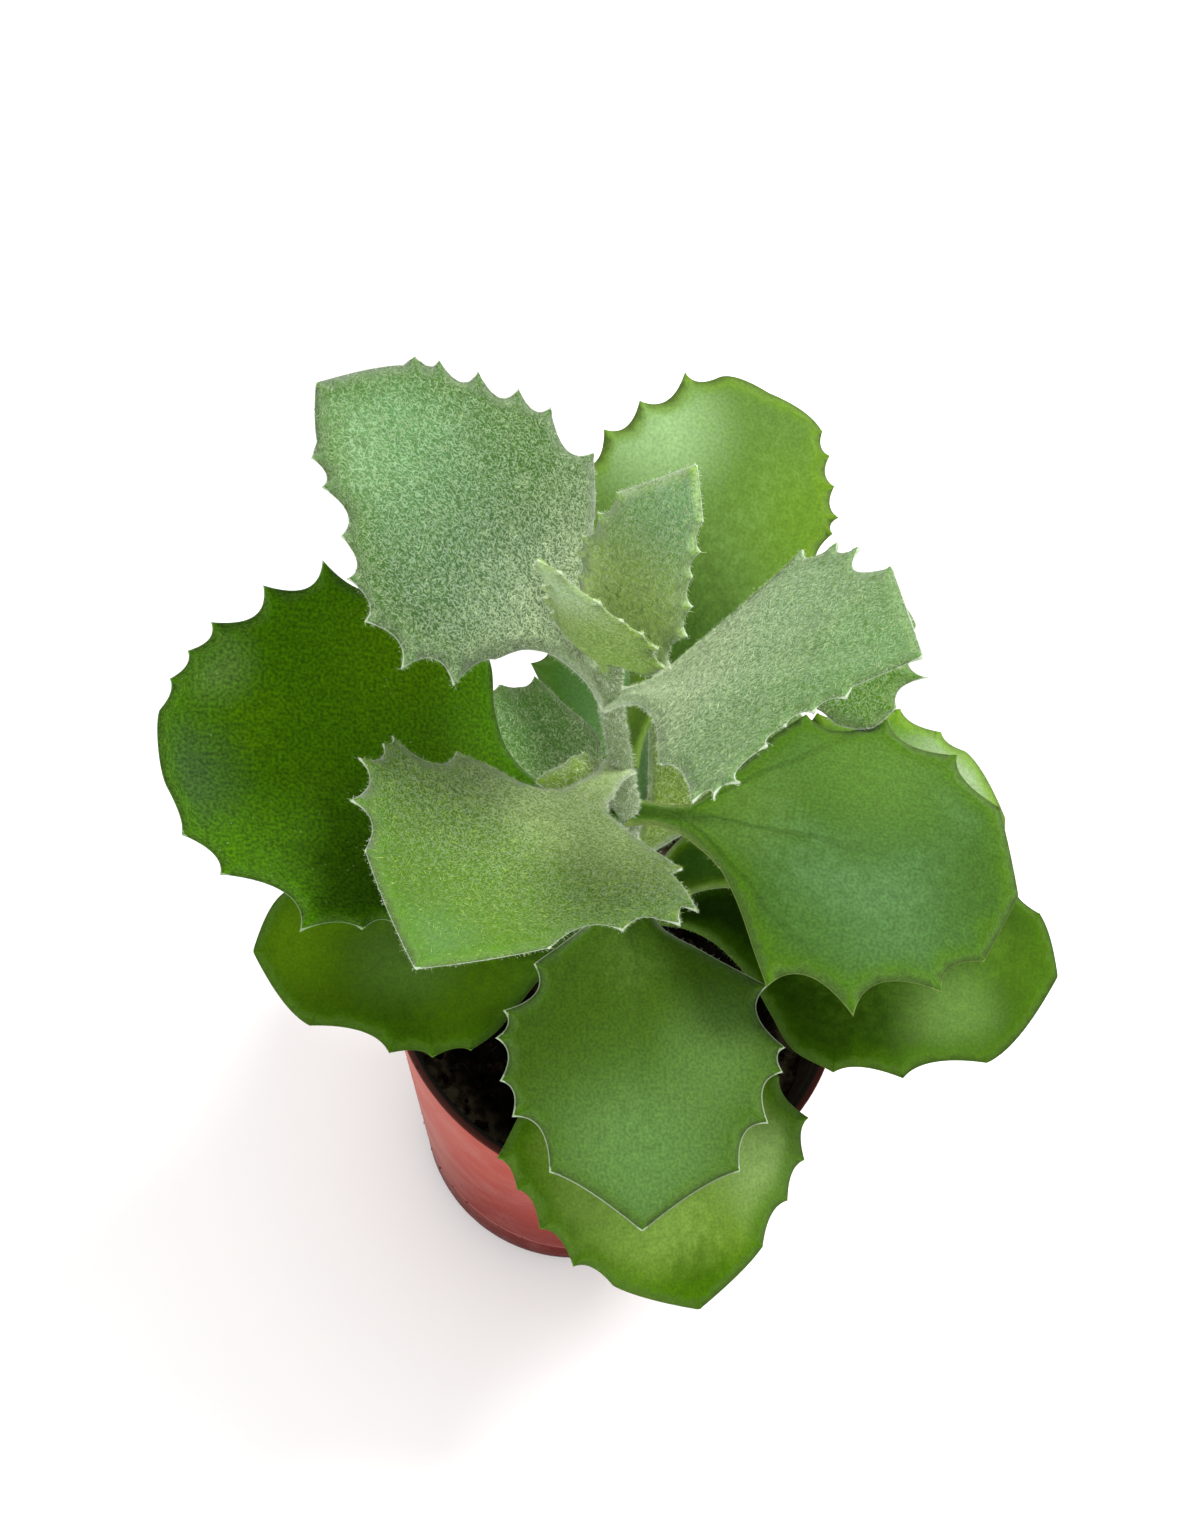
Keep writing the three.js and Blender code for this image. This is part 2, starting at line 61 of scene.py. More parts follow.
def addCamera():
    data = bpy.data.cameras.new("studioCamera")
    data.lens = cameraView["lens"]
    data.sensor_width = cameraView["sensor"]
    data.clip_start = cameraView["clipStart"]
    camera = bpy.data.objects.new("studioCamera", data)
    tilt = Matrix.Rotation(math.radians(cameraView["tilt"]), 4, "X")
    roll = Matrix.Rotation(math.radians(cameraView["roll"]), 4, "Z")
    camera.matrix_world = Matrix.Translation(cameraView["spot"]) @ tilt @ roll
    scene.collection.objects.link(camera)
    scene.camera = camera


addCamera()
print("camera set")


def hexColour(text):
    # a #rrggbb colour as the linear values that Blender mixes
    parts = [int(text[i:i + 2], 16) / 255 for i in (1, 3, 5)]
    linear = [p / 12.92 if p <= 0.04045 else ((p + 0.055) / 1.055) ** 2.4 for p in parts]
    return (*linear, 1.0)


def blendTo(low, high, value):
    # eases from 0 at low to 1 at high
    t = np.clip((value - low) / (high - low), 0, 1)
    return t * t * (3 - 2 * t)


def softNoise(points, size, seed):
    # smooth random field between -1 and 1 with lumps about size millimetres across
    grid = points / size + 37.31 * seed
    low = np.floor(grid).astype(np.int64)
    part = grid - low
    part = part * part * (3 - 2 * part)
    total = np.zeros(len(points))
    for corner in range(8):
        step = np.array([corner & 1, (corner >> 1) & 1, (corner >> 2) & 1])
        cell = low + step
        # large odd numbers spread the cells over the table
        key = (cell[:, 0] * 73856093) ^ (cell[:, 1] * 19349663) ^ (cell[:, 2] * 83492791)
        weight = np.prod(np.where(step == 1, part, 1 - part), axis=1)
        total += noiseTable[(key + seed * 977) & (noiseCells - 1)] * weight
    return total


def unit(vectors):
    return vectors / (np.linalg.norm(vectors, axis=1)[:, None] + 1e-12)


def meshFrom(name, points, faces, values=None):
    # points in millimetres; values are extra numbers kept on the points for the materials
    mesh = bpy.data.meshes.new(name)
    mesh.from_pydata((points * mm).tolist(), [], faces.tolist())
    for key, data in (values or {}).items():
        kind = "FLOAT_VECTOR" if data.ndim == 2 else "FLOAT"
        field = "vector" if data.ndim == 2 else "value"
        layer = mesh.attributes.new(key, kind, "POINT")
        layer.data.foreach_set(field, data.astype(np.float32).ravel())
    mesh.update()
    return mesh


def addPiece(name, mesh, material, stands, smooth=True):
    # stands is the node that the piece takes the place of, or None
    if smooth:
        mesh.shade_smooth()
    mesh.materials.append(material)
    piece = bpy.data.objects.new(name, mesh)
    scene.collection.objects.link(piece)
    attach(piece, "root")
    if stands:
        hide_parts(stands)


def pointNormals(points, triangles):
    a, b, c = (points[triangles[:, k]] for k in range(3))
    facing = np.cross(b - a, c - a)
    normals = np.zeros_like(points)
    for k in range(3):
        np.add.at(normals, triangles[:, k], facing)
    return unit(normals)


def circleAngles(sides):
    return np.arange(sides) / sides * 2 * math.pi


def circlePoints(x, y, radius, sides):
    return [(x + radius * math.cos(a), y + radius * math.sin(a)) for a in circleAngles(sides)]


def bandFaces(rows, sides, first=0, inward=False):
    # two triangles for each field between rings of points, the first ring starting at point first
    faces = []
    for row in range(rows - 1):
        start = first + row * sides
        for k in range(sides):
            a, b = start + k, start + (k + 1) % sides
            if inward:
                faces += [(a, a + sides, b + sides), (a, b + sides, b)]
            else:
                faces += [(a, b, b + sides), (a, b + sides, a + sides)]
    return faces


def fillOutline(points, edges, outlines, mode):
    # triangles between flat points; mode 1 keeps what lies inside the outlines, 0 everything
    made = delaunay_2d_cdt([Vector(p) for p in points], edges, outlines, mode, 1e-6)
    flat = np.array([tuple(v) for v in made[0]])
    return flat, np.array([f for f in made[2] if len(f) == 3])


def turnOf(flat, triangles):
    # twice the area of each flat triangle, negative where its points run clockwise
    a, b, c = (flat[triangles[:, k]] for k in range(3))
    return (b[:, 0] - a[:, 0]) * (c[:, 1] - a[:, 1]) - (b[:, 1] - a[:, 1]) * (c[:, 0] - a[:, 0])


def reachAlong(points):
    # how far along the line each of its points lies
    return np.concatenate([[0], np.cumsum(np.linalg.norm(np.diff(points, axis=0), axis=1))])


def smoothLine(points, spacing):
    # an even smooth curve through points of any dimension
    points = np.array(points, float)
    reach = reachAlong(points)
    slope = np.gradient(points, reach, axis=0)
    fine = np.linspace(0, reach[-1], max(3, int(reach[-1] / spacing) + 1))
    index = np.clip(np.searchsorted(reach, fine, "right") - 1, 0, len(points) - 2)
    span = (reach[index + 1] - reach[index])[:, None]
    t = (fine - reach[index])[:, None] / span
    start = (2 * t**3 - 3 * t**2 + 1) * points[index] + (t**3 - 2 * t**2 + t) * span * slope[index]
    end = (3 * t**2 - 2 * t**3) * points[index + 1] + (t**3 - t**2) * span * slope[index + 1]
    return start + end


def addNode(tree, kind, inputs=None, **settings):
    # inputs by name or number: a node socket is linked, anything else is set
    node = tree.nodes.new(kind)
    for key, value in settings.items():
        setattr(node, key, value)
    for key, value in (inputs or {}).items():
        if isinstance(value, bpy.types.NodeSocket):
            tree.links.new(value, node.inputs[key])
        else:
            node.inputs[key].default_value = value
    return node


def maths(tree, operation, first, second=0.0, third=0.0):
    inputs = {0: first, 1: second, 2: third}
    return addNode(tree, "ShaderNodeMath", inputs, operation=operation).outputs[0]


def times(tree, first, second):
    return maths(tree, "MULTIPLY", first, second)


def vectorMaths(tree, operation, first, second, output="Vector"):
    inputs = {0: first, 1: second}
    return addNode(tree, "ShaderNodeVectorMath", inputs, operation=operation).outputs[output]


def surfaceSpot(tree):
    return addNode(tree, "ShaderNodeNewGeometry").outputs["Position"]


def spotInMm(tree):
    return vectorMaths(tree, "MULTIPLY", surfaceSpot(tree), (1000, 1000, 1000))


def awayFrom(tree, spot, x, y):
    # the distance from an upright line through x and y
    flat = vectorMaths(tree, "MULTIPLY", spot, (1, 1, 0))
    return vectorMaths(tree, "DISTANCE", flat, (x, y, 0), "Value")


def ease(tree, value, low, high, start=0.0, end=1.0):
    # runs smoothly from start at low to end at high
    inputs = {"Value": value, "From Min": low, "From Max": high, "To Min": start, "To Max": end}
    node = addNode(tree, "ShaderNodeMapRange", inputs, interpolation_type="SMOOTHSTEP")
    return node.outputs["Result"]


def mixColour(tree, share, first, second, way="MIX"):
    inputs = {0: share, 6: first, 7: second}
    return addNode(tree, "ShaderNodeMix", inputs, data_type="RGBA", blend_type=way).outputs[2]


def noiseAt(tree, place, scale, detail=2.0):
    inputs = {"Vector": place, "Scale": scale, "Detail": detail}
    return addNode(tree, "ShaderNodeTexNoise", inputs).outputs["Fac"]


def newGroup(name, sockets):
    # sockets: (name, "INPUT" or "OUTPUT", kind, default)
    group = bpy.data.node_groups.new(name, "ShaderNodeTree")
    for label, side, kind, default in sockets:
        socket = group.interface.new_socket(label, in_out=side, socket_type=kind)
        if default is not None:
            socket.default_value = default
    ends = group.nodes.new("NodeGroupInput"), group.nodes.new("NodeGroupOutput")
    return group, ends[0].outputs, ends[1].inputs


def fillGroup(tree, group, inputs):
    return addNode(tree, "ShaderNodeGroup", inputs, node_tree=group).outputs


def makeFeltGroup():
    # short pale streaks lying in several directions, for a surface covered in hairs
    group, given, out = newGroup("feltStreaks", [
        ("Place", "INPUT", "NodeSocketVector", None),
        ("Size", "INPUT", "NodeSocketFloat", 0.35),
        ("Cover", "INPUT", "NodeSocketFloat", 0.5),
        ("Hairs", "OUTPUT", "NodeSocketFloat", None),
    ])
    scale = maths(group, "DIVIDE", 1.0, given["Size"])
    low = maths(group, "SUBTRACT", 0.72, times(group, given["Cover"], 0.25))
    high = maths(group, "ADD", low, 0.16)
    strongest = None
    for turn, stretch in ((0.3, 0.3), (1.3, 0.26), (2.2, 0.34), (2.9, 0.3)):
        turned = addNode(group, "ShaderNodeVectorRotate",
                         {"Vector": given["Place"], "Angle": turn}, rotation_type="Z_AXIS")
        pulled = vectorMaths(group, "MULTIPLY", turned.outputs[0], (stretch, 1.0, 1.0))
        # each layer reads its own part of the noise
        moved = vectorMaths(group, "ADD", pulled, (turn * 31, turn * 17, 0))
        streak = ease(group, noiseAt(group, moved, scale, 1.0), low, high)
        strongest = streak if strongest is None else maths(group, "MAXIMUM", strongest, streak)
    group.links.new(strongest, out["Hairs"])
    return group


def makeMarginGroup():
    # a band and a thin line that follow the margin, with an uneven inner border, and a band of
    # painted shade just inside the line
    group, given, out = newGroup("marginBands", [
        ("Rim", "INPUT", "NodeSocketFloat", None),
        ("Place", "INPUT", "NodeSocketVector", None),
        ("Band", "INPUT", "NodeSocketFloat", 3.0),
        ("Line", "INPUT", "NodeSocketFloat", 0.3),
        ("Band Mask", "OUTPUT", "NodeSocketFloat", None),
        ("Line Mask", "OUTPUT", "NodeSocketFloat", None),
        ("Edge Shade Mask", "OUTPUT", "NodeSocketFloat", None),
    ])
    rim, thin = given["Rim"], given["Line"]
    waver = maths(group, "MULTIPLY_ADD", noiseAt(group, given["Place"], 0.22), 1.6, 0.2)
    wide = times(group, given["Band"], waver)
    for name, near, far in (("Band Mask", times(group, wide, 0.12), wide),
                            ("Line Mask", times(group, thin, 0.5), thin),
                            ("Edge Shade Mask", thin, times(group, thin, 3.5))):
        group.links.new(ease(group, rim, near, far, 1.0, 0.0), out[name])
    return group


def makeVeinGroup():
    # a midrib and veins that fan out from the end of the petiole
    group, given, out = newGroup("veinFan", [
        ("Place", "INPUT", "NodeSocketVector", None),
        ("Fork", "INPUT", "NodeSocketFloat", 8.0),
        ("Reach", "INPUT", "NodeSocketFloat", 40.0),
        ("Veins", "OUTPUT", "NodeSocketFloat", None),
    ])
    parts = addNode(group, "ShaderNodeSeparateXYZ", {0: given["Place"]}).outputs
    bent = maths(group, "MULTIPLY_ADD", noiseAt(group, given["Place"], 0.12), 3.0, -1.5)
    beyond = maths(group, "SUBTRACT", parts[0], given["Fork"])
    sideways = maths(group, "ADD", parts[1], bent)
    angle = maths(group, "ARCTAN2", sideways, beyond)
    comb = maths(group, "COSINE", times(group, angle, 9.0))
    far = maths(group, "SQRT", maths(group, "ADD", maths(group, "POWER", beyond, 2.0),
                                     maths(group, "POWER", sideways, 2.0)))
    # the comb's peaks narrow with distance, so a vein keeps its width
    spread = maths(group, "POWER", maths(group, "ADD", far, 3.0), 1.6)
    sharp = maths(group, "SUBTRACT", 1.0, maths(group, "DIVIDE", 6.0, spread))
    vein = ease(group, comb, maths(group, "MINIMUM", sharp, 0.97), 1.0)
    fade = ease(group, far, 2.0, given["Reach"], 1.0, 0.0)
    group.links.new(times(group, vein, fade), out["Veins"])
    return group


def makeSpeckGroup():
    # scattered round specks of uneven size
    group, given, out = newGroup("specks", [
        ("Place", "INPUT", "NodeSocketVector", None),
        ("Scale", "INPUT", "NodeSocketFloat", 0.8),
        ("Share", "INPUT", "NodeSocketFloat", 0.3),
        ("Radius", "INPUT", "NodeSocketFloat", 0.15),
        ("Specks", "OUTPUT", "NodeSocketFloat", None),
    ])
    cells = addNode(group, "ShaderNodeTexVoronoi",
                    {"Vector": given["Place"], "Scale": given["Scale"]}).outputs
    pick = addNode(group, "ShaderNodeSeparateColor", {0: cells["Color"]}).outputs
    size = times(group, given["Radius"], maths(group, "ADD", pick[1], 0.3))
    spot = ease(group, cells["Distance"], times(group, size, 0.6), size, 1.0, 0.0)
    kept = maths(group, "LESS_THAN", pick[0], given["Share"])
    group.links.new(times(group, spot, kept), out["Specks"])
    return group


feltStreaks = makeFeltGroup()
marginBands = makeMarginGroup()
veinFan = makeVeinGroup()
specks = makeSpeckGroup()
print("shader groups made")


def newMaterial(name, roughness, specular):
    material = bpy.data.materials.new(name)
    material.use_nodes = True
    shader = material.node_tree.nodes["Principled BSDF"]
    shader.inputs["Roughness"].default_value = roughness
    shader.inputs["Specular IOR Level"].default_value = specular
    return material, material.node_tree, shader


def finishShader(tree, shader, colour, height=None, depth=0.0):
    # depth is how deep the relief seems, in millimetres
    tree.links.new(colour, shader.inputs["Base Color"])
    if height is not None:
        bump = addNode(tree, "ShaderNodeBump",
                       {"Height": height, "Strength": 1.0, "Distance": depth * mm})
        tree.links.new(bump.outputs["Normal"], shader.inputs["Normal"])


# heading is the compass angle from +X, rise the slope at the stem and at the tip, roll lifts the
# left margin, cup is the curvature across (1/mm). bite is the depth of the hollow between two
# teeth as a share of their distance. left and right list the margin from the stem to the tip as
# [along, out]: each point is a tooth unless a third value gives the hollow before it its own bite
# (0 joins the points in a smooth line). apex is how far the last edge to the tip bulges, tipOut
# how far the tip lies left of the middle line.
leaves = [
    {
        "name": "leaf_upper_left", "node": "upper", "heading": 165, "rise": [51, 20], "roll": -1,
        "cup": 0.008, "bite": 0.32, "length": 48.9, "apex": 0.03,
        "left": [[7, 2.1, 0], [10.5, 3.3, 0], [13.5, 5.6, 0], [16, 9.6, 0], [18.5, 16, 0.1],
                 [24.5, 19.5], [30.5, 18.5], [34.5, 16], [37.5, 12.5], [42, 9.5], [44.6, 7.6],
                 [45.2, 5.5, 0]],
        "right": [[7, 2.4, 0], [12, 6.5, 0], [17, 13.5, 0], [21, 17.5, 0], [28, 17.3],
                  [32, 16], [36.5, 14, 0.37], [40.5, 11.8, 0.37], [42.7, 10.2],
                  [43.1, 8.4, 0]],
    },
    {
        "name": "leaf_upper_right", "node": "upper", "heading": -19, "rise": [57, 47], "roll": 2,
        "cup": 0.003, "bite": 0.3, "length": 48.3, "tipOut": -0.9, "apex": 0.0,
        "left": [[6, 2, 0], [11, 7, 0], [17, 14.5, 0], [20, 18.5, 0], [25.5, 18.5], [29.5, 17],
                 [36.4, 12.9]],
        "right": [[6, 2, 0], [11, 4.5, 0], [20, 13.5, 0], [30.2, 20.1, 0.1], [33.1, 19.8, 0.6],
                  [35.2, 17.5, 0.5], [35.2, 12.2, 0.36], [35.8, 9.5, 0.4], [38.5, 8, 0.35],
                  [41.7, 6.2], [41.6, 4.6, 0]],
    },
    {
        "name": "leaf_tall_back", "node": "front", "heading": 83, "rise": [45, 0], "roll": 14,
        "cup": -0.015, "bite": 0.26, "length": 49.3, "apex": 0.1,
        "left": [[10, 2.6, 0], [16, 9, 0], [23, 16, 0], [30, 17.2, 0], [35.5, 16], [40.5, 13.5],
                 [46.5, 10], [48, 6]],
        "right": [[10, 2.6, 0], [17, 8, 0], [24, 13, 0], [30.5, 15], [36.5, 14], [39, 14],
                  [42.5, 12], [46, 10], [48.5, 8]],
    },
    {
        "name": "leaf_front_left", "node": "front", "heading": 250, "rise": [25, 23], "roll": 8,
        "cup": 0.024, "bite": 0.3, "length": 47.9, "apex": 0.0,
        "left": [[6, 2.1, 0], [9, 2.5, 0], [12.5, 7.5, 0], [15, 12, 0], [17.3, 15.7, 0],
                 [18.7, 15, 0.05], [26.3, 21.6, -0.03], [25.3, 19.2, 0.05],
                 [29.3, 21, 0.05], [28.3, 18, 0.05], [31.2, 15.2, 0.38], [37, 9.7, 0.32]],
        "right": [[6, 2.1, 0], [10.5, 3.5, 0], [12.5, 6.5, 0], [13.5, 10.5, 0], [15.5, 14.5, 0],
                  [21.5, 20.5], [23.5, 20.5], [28, 21], [33.5, 18], [37.5, 13]],
    },
    {
        "name": "leaf_wide_left", "node": "wide", "heading": 203, "rise": [27, 13], "roll": -10,
        "cup": 0.025, "bite": 0.32, "length": 58.3, "tipOut": -3.0, "apex": 0.04,
        "left": [[8, 2.6, 0], [13, 5, 0], [20, 13, 0], [26, 18], [33.8, 20.4], [38.3, 20.2, 0.4],
                 [45.5, 20.9, 0.17], [52.8, 13], [56.4, 8, 0.2], [57.5, 2.4, 0.08]],
        "right": [[8, 2, 0], [12, 2.1, 0], [16.3, 5.3, 0], [18.2, 9.8, 0], [19.2, 15, 0],
                  [24, 21, 0], [32, 24.5], [41, 24.5], [47.2, 21], [52.6, 16.5], [55, 13.2, 0.25],
                  [56.9, 10, 0.2], [58, 6.5, 0.15]],
    },
    {
        "name": "leaf_wide_right", "node": "wide", "heading": 2, "rise": [17, -13], "roll": 2,
        "cup": -0.012, "bite": 0.25, "length": 48.4, "apex": 0.0,
        "left": [[7, 1.8, 0], [11.5, 6.8, 0], [15.5, 13, 0], [19.3, 17.8, 0], [29.5, 20.2],
                 [38.8, 17.2], [44.8, 11.3, 0.2]],
        "right": [[7, 2.3, 0], [9.5, 3.8, 0], [12.5, 6.2, 0], [14.5, 9, 0], [18.5, 16.2, 0],
                  [20.3, 19.3, 0], [31.1, 20.4], [41, 14.8], [45.4, 9.6]],
    },
    {
        "name": "leaf_mid_front", "node": "middle", "heading": -75, "rise": [14, -16], "roll": -2,
        "cup": 0.014, "bite": 0.27, "length": 47.3, "apex": -0.05,
        "left": [[6, 2.5, 0], [9, 3.5, 0], [12.5, 8, 0], [18, 16, 0], [26, 17.5], [29, 17],
                 [35, 15], [40.5, 11.5]],
        "right": [[6, 2.5, 0], [10.5, 6.5, 0], [16, 12.5, 0], [22.5, 16.5], [26, 17.5],
                  [31, 17], [35, 15.5], [41, 11]],
    },
    {
        "name": "leaf_mid_back", "node": "inner", "heading": 92, "rise": [22, -2], "roll": 0,
        "cup": 0.006, "bite": 0.24, "length": 45, "apex": 0.08,
        "left": [[9, 2.7, 0], [14, 8, 0], [19, 14, 0], [24.4, 18.6, 0], [31, 17.5], [36.5, 14],
                 [41, 9]],
        "right": [[9, 2.4, 0], [14, 6, 0], [19, 11, 0], [23.9, 14.8], [31, 16.4], [36.5, 13.5],
                  [41, 8.5]],
    },
    {
        "name": "leaf_inner_right", "node": "middle", "heading": 60, "rise": [33, 17], "roll": -6,
        "cup": 0.008, "bite": 0.28, "length": 48, "apex": 0.05,
        "left": [[7, 3, 0], [12, 7, 0], [18, 12.5, 0], [25, 15.5], [31, 16], [37, 14.5],
                 [42.5, 10]],
        "right": [[6, 2.4, 0], [11, 4.5, 0], [18, 6.4, 0], [24, 7.6, 0], [27.4, 6.4, 0],
                  [28.9, 3.3, 0], [30, 5.4, 0], [30.2, 9, 0], [32.5, 12.4, 0], [36.2, 13, 0],
                  [41.6, 13.4], [46, 7.5]],
    },
    {
        "name": "leaf_inner_left", "node": "innerLeft", "heading": 172, "rise": [35, 25],
        "roll": 0, "cup": 0.01, "bite": 0.28, "length": 32, "apex": 0.05,
        "left": [[4.5, 2.2, 0], [8, 6, 0], [12, 11, 0], [17, 13.5], [22, 12.5], [27, 8.5]],
        "right": [[4.5, 2.2, 0], [7, 6, 0], [9.5, 9.3, 0], [15.6, 10, 0], [21, 10.6, 0],
                  [24.4, 6.8, 0.2], [28, 5]],
    },
    {
        "name": "leaf_low_left", "node": "lowSide", "heading": 203.5, "rise": [7, -13], "roll": 2,
        "cup": 0.001, "bite": 0.14, "length": 48.2, "apex": 0.06,
        "left": [[6, 3.4, 0], [9, 5.8, 0], [13, 9, 0], [17, 13, 0], [20.5, 16.4, 0],
                 [23.8, 18.3, 0], [28.5, 18.5], [33.5, 17], [42.5, 11.5]],
        "right": [[8, 2.6, 0], [13, 6, 0], [18, 13, 0], [23, 17.5, 0], [29, 18.5], [35, 16.5],
                  [40, 12.5], [44, 7]],
    },
    {
        "name": "leaf_low_right", "node": "low", "heading": 4.5, "rise": [24, -12.5], "roll": 4,
        "cup": 0.001, "bite": 0.11, "length": 55.7, "apex": 0.06,
        "left": [[8, 4.2, 0], [12, 6.8, 0], [18, 11, 0], [23, 15, 0], [29, 17.5], [36, 17.5],
                 [43, 14.5], [48.8, 10], [52.4, 7.8]],
        "right": [[8, 2.2, 0], [11, 3.6, 0], [14, 6, 0], [17, 9.2, 0], [19.6, 13, 0],
                  [22.4, 16.9, 0], [28, 19.4, 0], [36.7, 18.6], [47.2, 14.2]],
    },
    {
        "name": "leaf_side_right", "node": "lowSide", "heading": 25.5, "rise": [23, 0], "roll": 9,
        "cup": 0.005, "bite": 0.15, "length": 49.5, "apex": 0.06,
        "left": [[6, 4.8, 0], [10, 7.2, 0], [16, 11, 0], [22, 15, 0], [29, 18], [36.5, 17.5],
                 [39.5, 16.5], [44, 12.5], [46.5, 9.5]],
        "right": [[6, 1.4, 0], [10, 1.3, 0], [13, 2, 0], [17, 6.5, 0], [22, 13, 0], [29, 17],
                  [36, 16.5], [42, 12.5], [46, 8]],
    },
    {
        "name": "leaf_low_front", "node": "lowest", "heading": -65, "rise": [7, -36], "roll": -5,
        "cup": -0.006, "bite": 0.16, "length": 49.4, "apex": 0.03,
        "left": [[7, 2.6, 0], [12, 7, 0], [17, 12, 0], [21.8, 15.3, 0], [27.7, 18.4],
                 [33.1, 16.8], [37.9, 13.6], [43.1, 9.4]],
        "right": [[7, 2.6, 0], [12, 8, 0], [18, 16, 0], [26.9, 23.1, 0], [31, 21.2],
                  [36.1, 19.1], [41.3, 15.5], [44.4, 10.8]],
    },
    {
        "name": "leaf_low_back", "node": "lowest", "heading": 128, "rise": [6, -20], "roll": 0,
        "cup": 0.004, "bite": 0.18, "length": 44, "apex": 0.08,
        "left": [[8, 2.6, 0], [13, 7, 0], [18, 13, 0], [24, 16.5], [30, 16.5], [35.5, 13.5],
                 [40, 8.5]],
        "right": [[8, 2.6, 0], [13, 7, 0], [18, 13, 0], [23.5, 16.5], [29, 17], [34.5, 14],
                  [39.5, 9]],
    },
    {
        "name": "leaf_young_back", "node": "young", "heading": 73, "rise": [86, 50], "roll": -16,
        "cup": 0.02, "bite": 0.25, "length": 26.5, "apex": 0.0, "young": 1.5,
        "left": [[2.6, 3.5, 0], [4.8, 6.5, 0], [7.2, 7.7, 0], [10.1, 8.7], [12.2, 8.7],
                 [15.9, 8], [19.1, 6.9]],
        "right": [[2.6, 3.5, 0], [5.3, 7.1, 0], [10.5, 7.6], [13.7, 6.7], [16.4, 5.2],
                  [19.2, 4.9], [22, 3.6]],
    },
    {
        "name": "leaf_young_front", "node": "young", "heading": 214, "rise": [72, 60], "roll": 40,
        "cup": -0.004, "bite": 0.2, "length": 27, "apex": 0.02, "young": 0.6,
        "left": [[3.2, 5.8, 0], [7.8, 8.9, 0], [12.7, 9.4], [15.3, 8.2], [16.8, 6.2],
                 [19.9, 4.6], [25.4, 2.2]],
        "right": [[3, 3.2, 0], [6, 4.4, 0], [9.8, 4.8, 0], [14, 4.4], [18.1, 3.2], [23.5, 1.8]],
    },
    {
        "name": "leaf_axil", "node": "axil", "heading": 205, "rise": [40, 10], "roll": 0,
        "cup": 0.03, "bite": 0.06, "length": 12.6, "apex": 0.05, "young": 0.0,
        "left": [[3.6, 3.2, 0], [5.5, 4, 0], [7.5, 3.6], [10, 2.2]],
        "right": [[3.6, 3.6, 0], [5.5, 4.3, 0], [7.5, 3.5], [10.3, 1.6]],
    },
]

leafShape = {
    "petioleHalfWidth": 1.6,
    "petioleThickness": 2.2,
    "midThickness": 1.7,
    "edgeThickness": 0.6,
    "youngThickness": 0.75,
    "youngPetiole": 0.62,
    "youngSink": 1.6,  # a young leaf starts this far below its node
    "start": 0.2,  # and an old one this far out of it
    "bladeFrom": 0.28,  # the share of the length at which the blade's wider net begins
    "toothLean": 0.28,
    "lineStep": 0.25,  # step along the smooth runs of a margin
    "cornerTurn": 0.88,  # the cosine under which a turn counts as a sharp corner
    "tipHalfWidth": 0.15,
    "outlineStep": 0.36,
    "youngStep": 0.6,
    "insideStep": 0.95,
    "petioleStep": 0.5,
    "ringsIn": (0.12, 0.34, 0.8),  # lines of points that follow the margin
    "channelDepth": 0.62,
    "grooveDepth": 0.22,
    "grooveWidth": 1.5,
    "keelDepth": 0.3,
    "keelWidth": 1.8,
    "edgeRoll": 0.16,
    "edgeRollWidth": 1.8,
    "waves": ((0.34, 11, 1), (0.14, 4.5, 2)),  # height, width and seed
    "leafShift": 40.0,  # each leaf, and each of its faces, reads its own part of the noise
    "sideShift": 7.0,
}

stemNodes = {
    "buriedEnd": (1.5, 2.5, 33),
    "collar": (1.5, 2.5, 44),
    "lowest": (0.5, 2.5, 60.5),
    "low": (-0.5, 2.5, 66),
    "lowSide": (-1, 2.5, 69),
    "inner": (-2, 2.5, 74.5),
    "middle": (-3, 2.5, 78),
    "innerLeft": (-4, 2.5, 83),
    "wide": (-5, 2.5, 91),
    "axil": (-5.8, 2.5, 95),
    "front": (-7, 2.5, 101),
    "upper": (-10, 2.5, 114),
    "young": (-11, 2.5, 120.5),
    "growingTip": (-11.1, 2.5, 121.2),
}

# body is the flesh colour, bloom the pale bloom on it, partly painted sheen, band the colour along
# the margin, line the thin pale edge, the fuzz there with painted rim light, under the lower face,
# felt how much hair covers it (0 to 1), hair its darkest and palest colour, petiole the colour near
# the stem under the hair, paler how much paler the hairs are painted there as painted light,
# tipFelt how much of them is left at the tip, gaps how dark the flesh is painted between hairs as
# painted shade, grain how strongly the surface is mottled. patches are soft tints, each (along,
# out, radius, colour, strength): some pale ones are painted sheen, the dark ones near the stem of
# the lower leaves painted shade, and the bright one at the foot of leaf_young_back painted light
# shining through it. commonLook is what a leaf has unless its own entry says otherwise.
commonLook = {
    "lineWidth": 0.11,
    "lineStrength": 0.6,
    "edgeShade": 0.2,
    "veins": 0.15,
    "grain": 0.1,
    "petiole": "#c4d8a6",
    "paler": 0.6,
    "tipFelt": 0.6,
    "gaps": 0.6,
    "specks": 0.0,
    "patches": (),
    "underPatches": (),
}

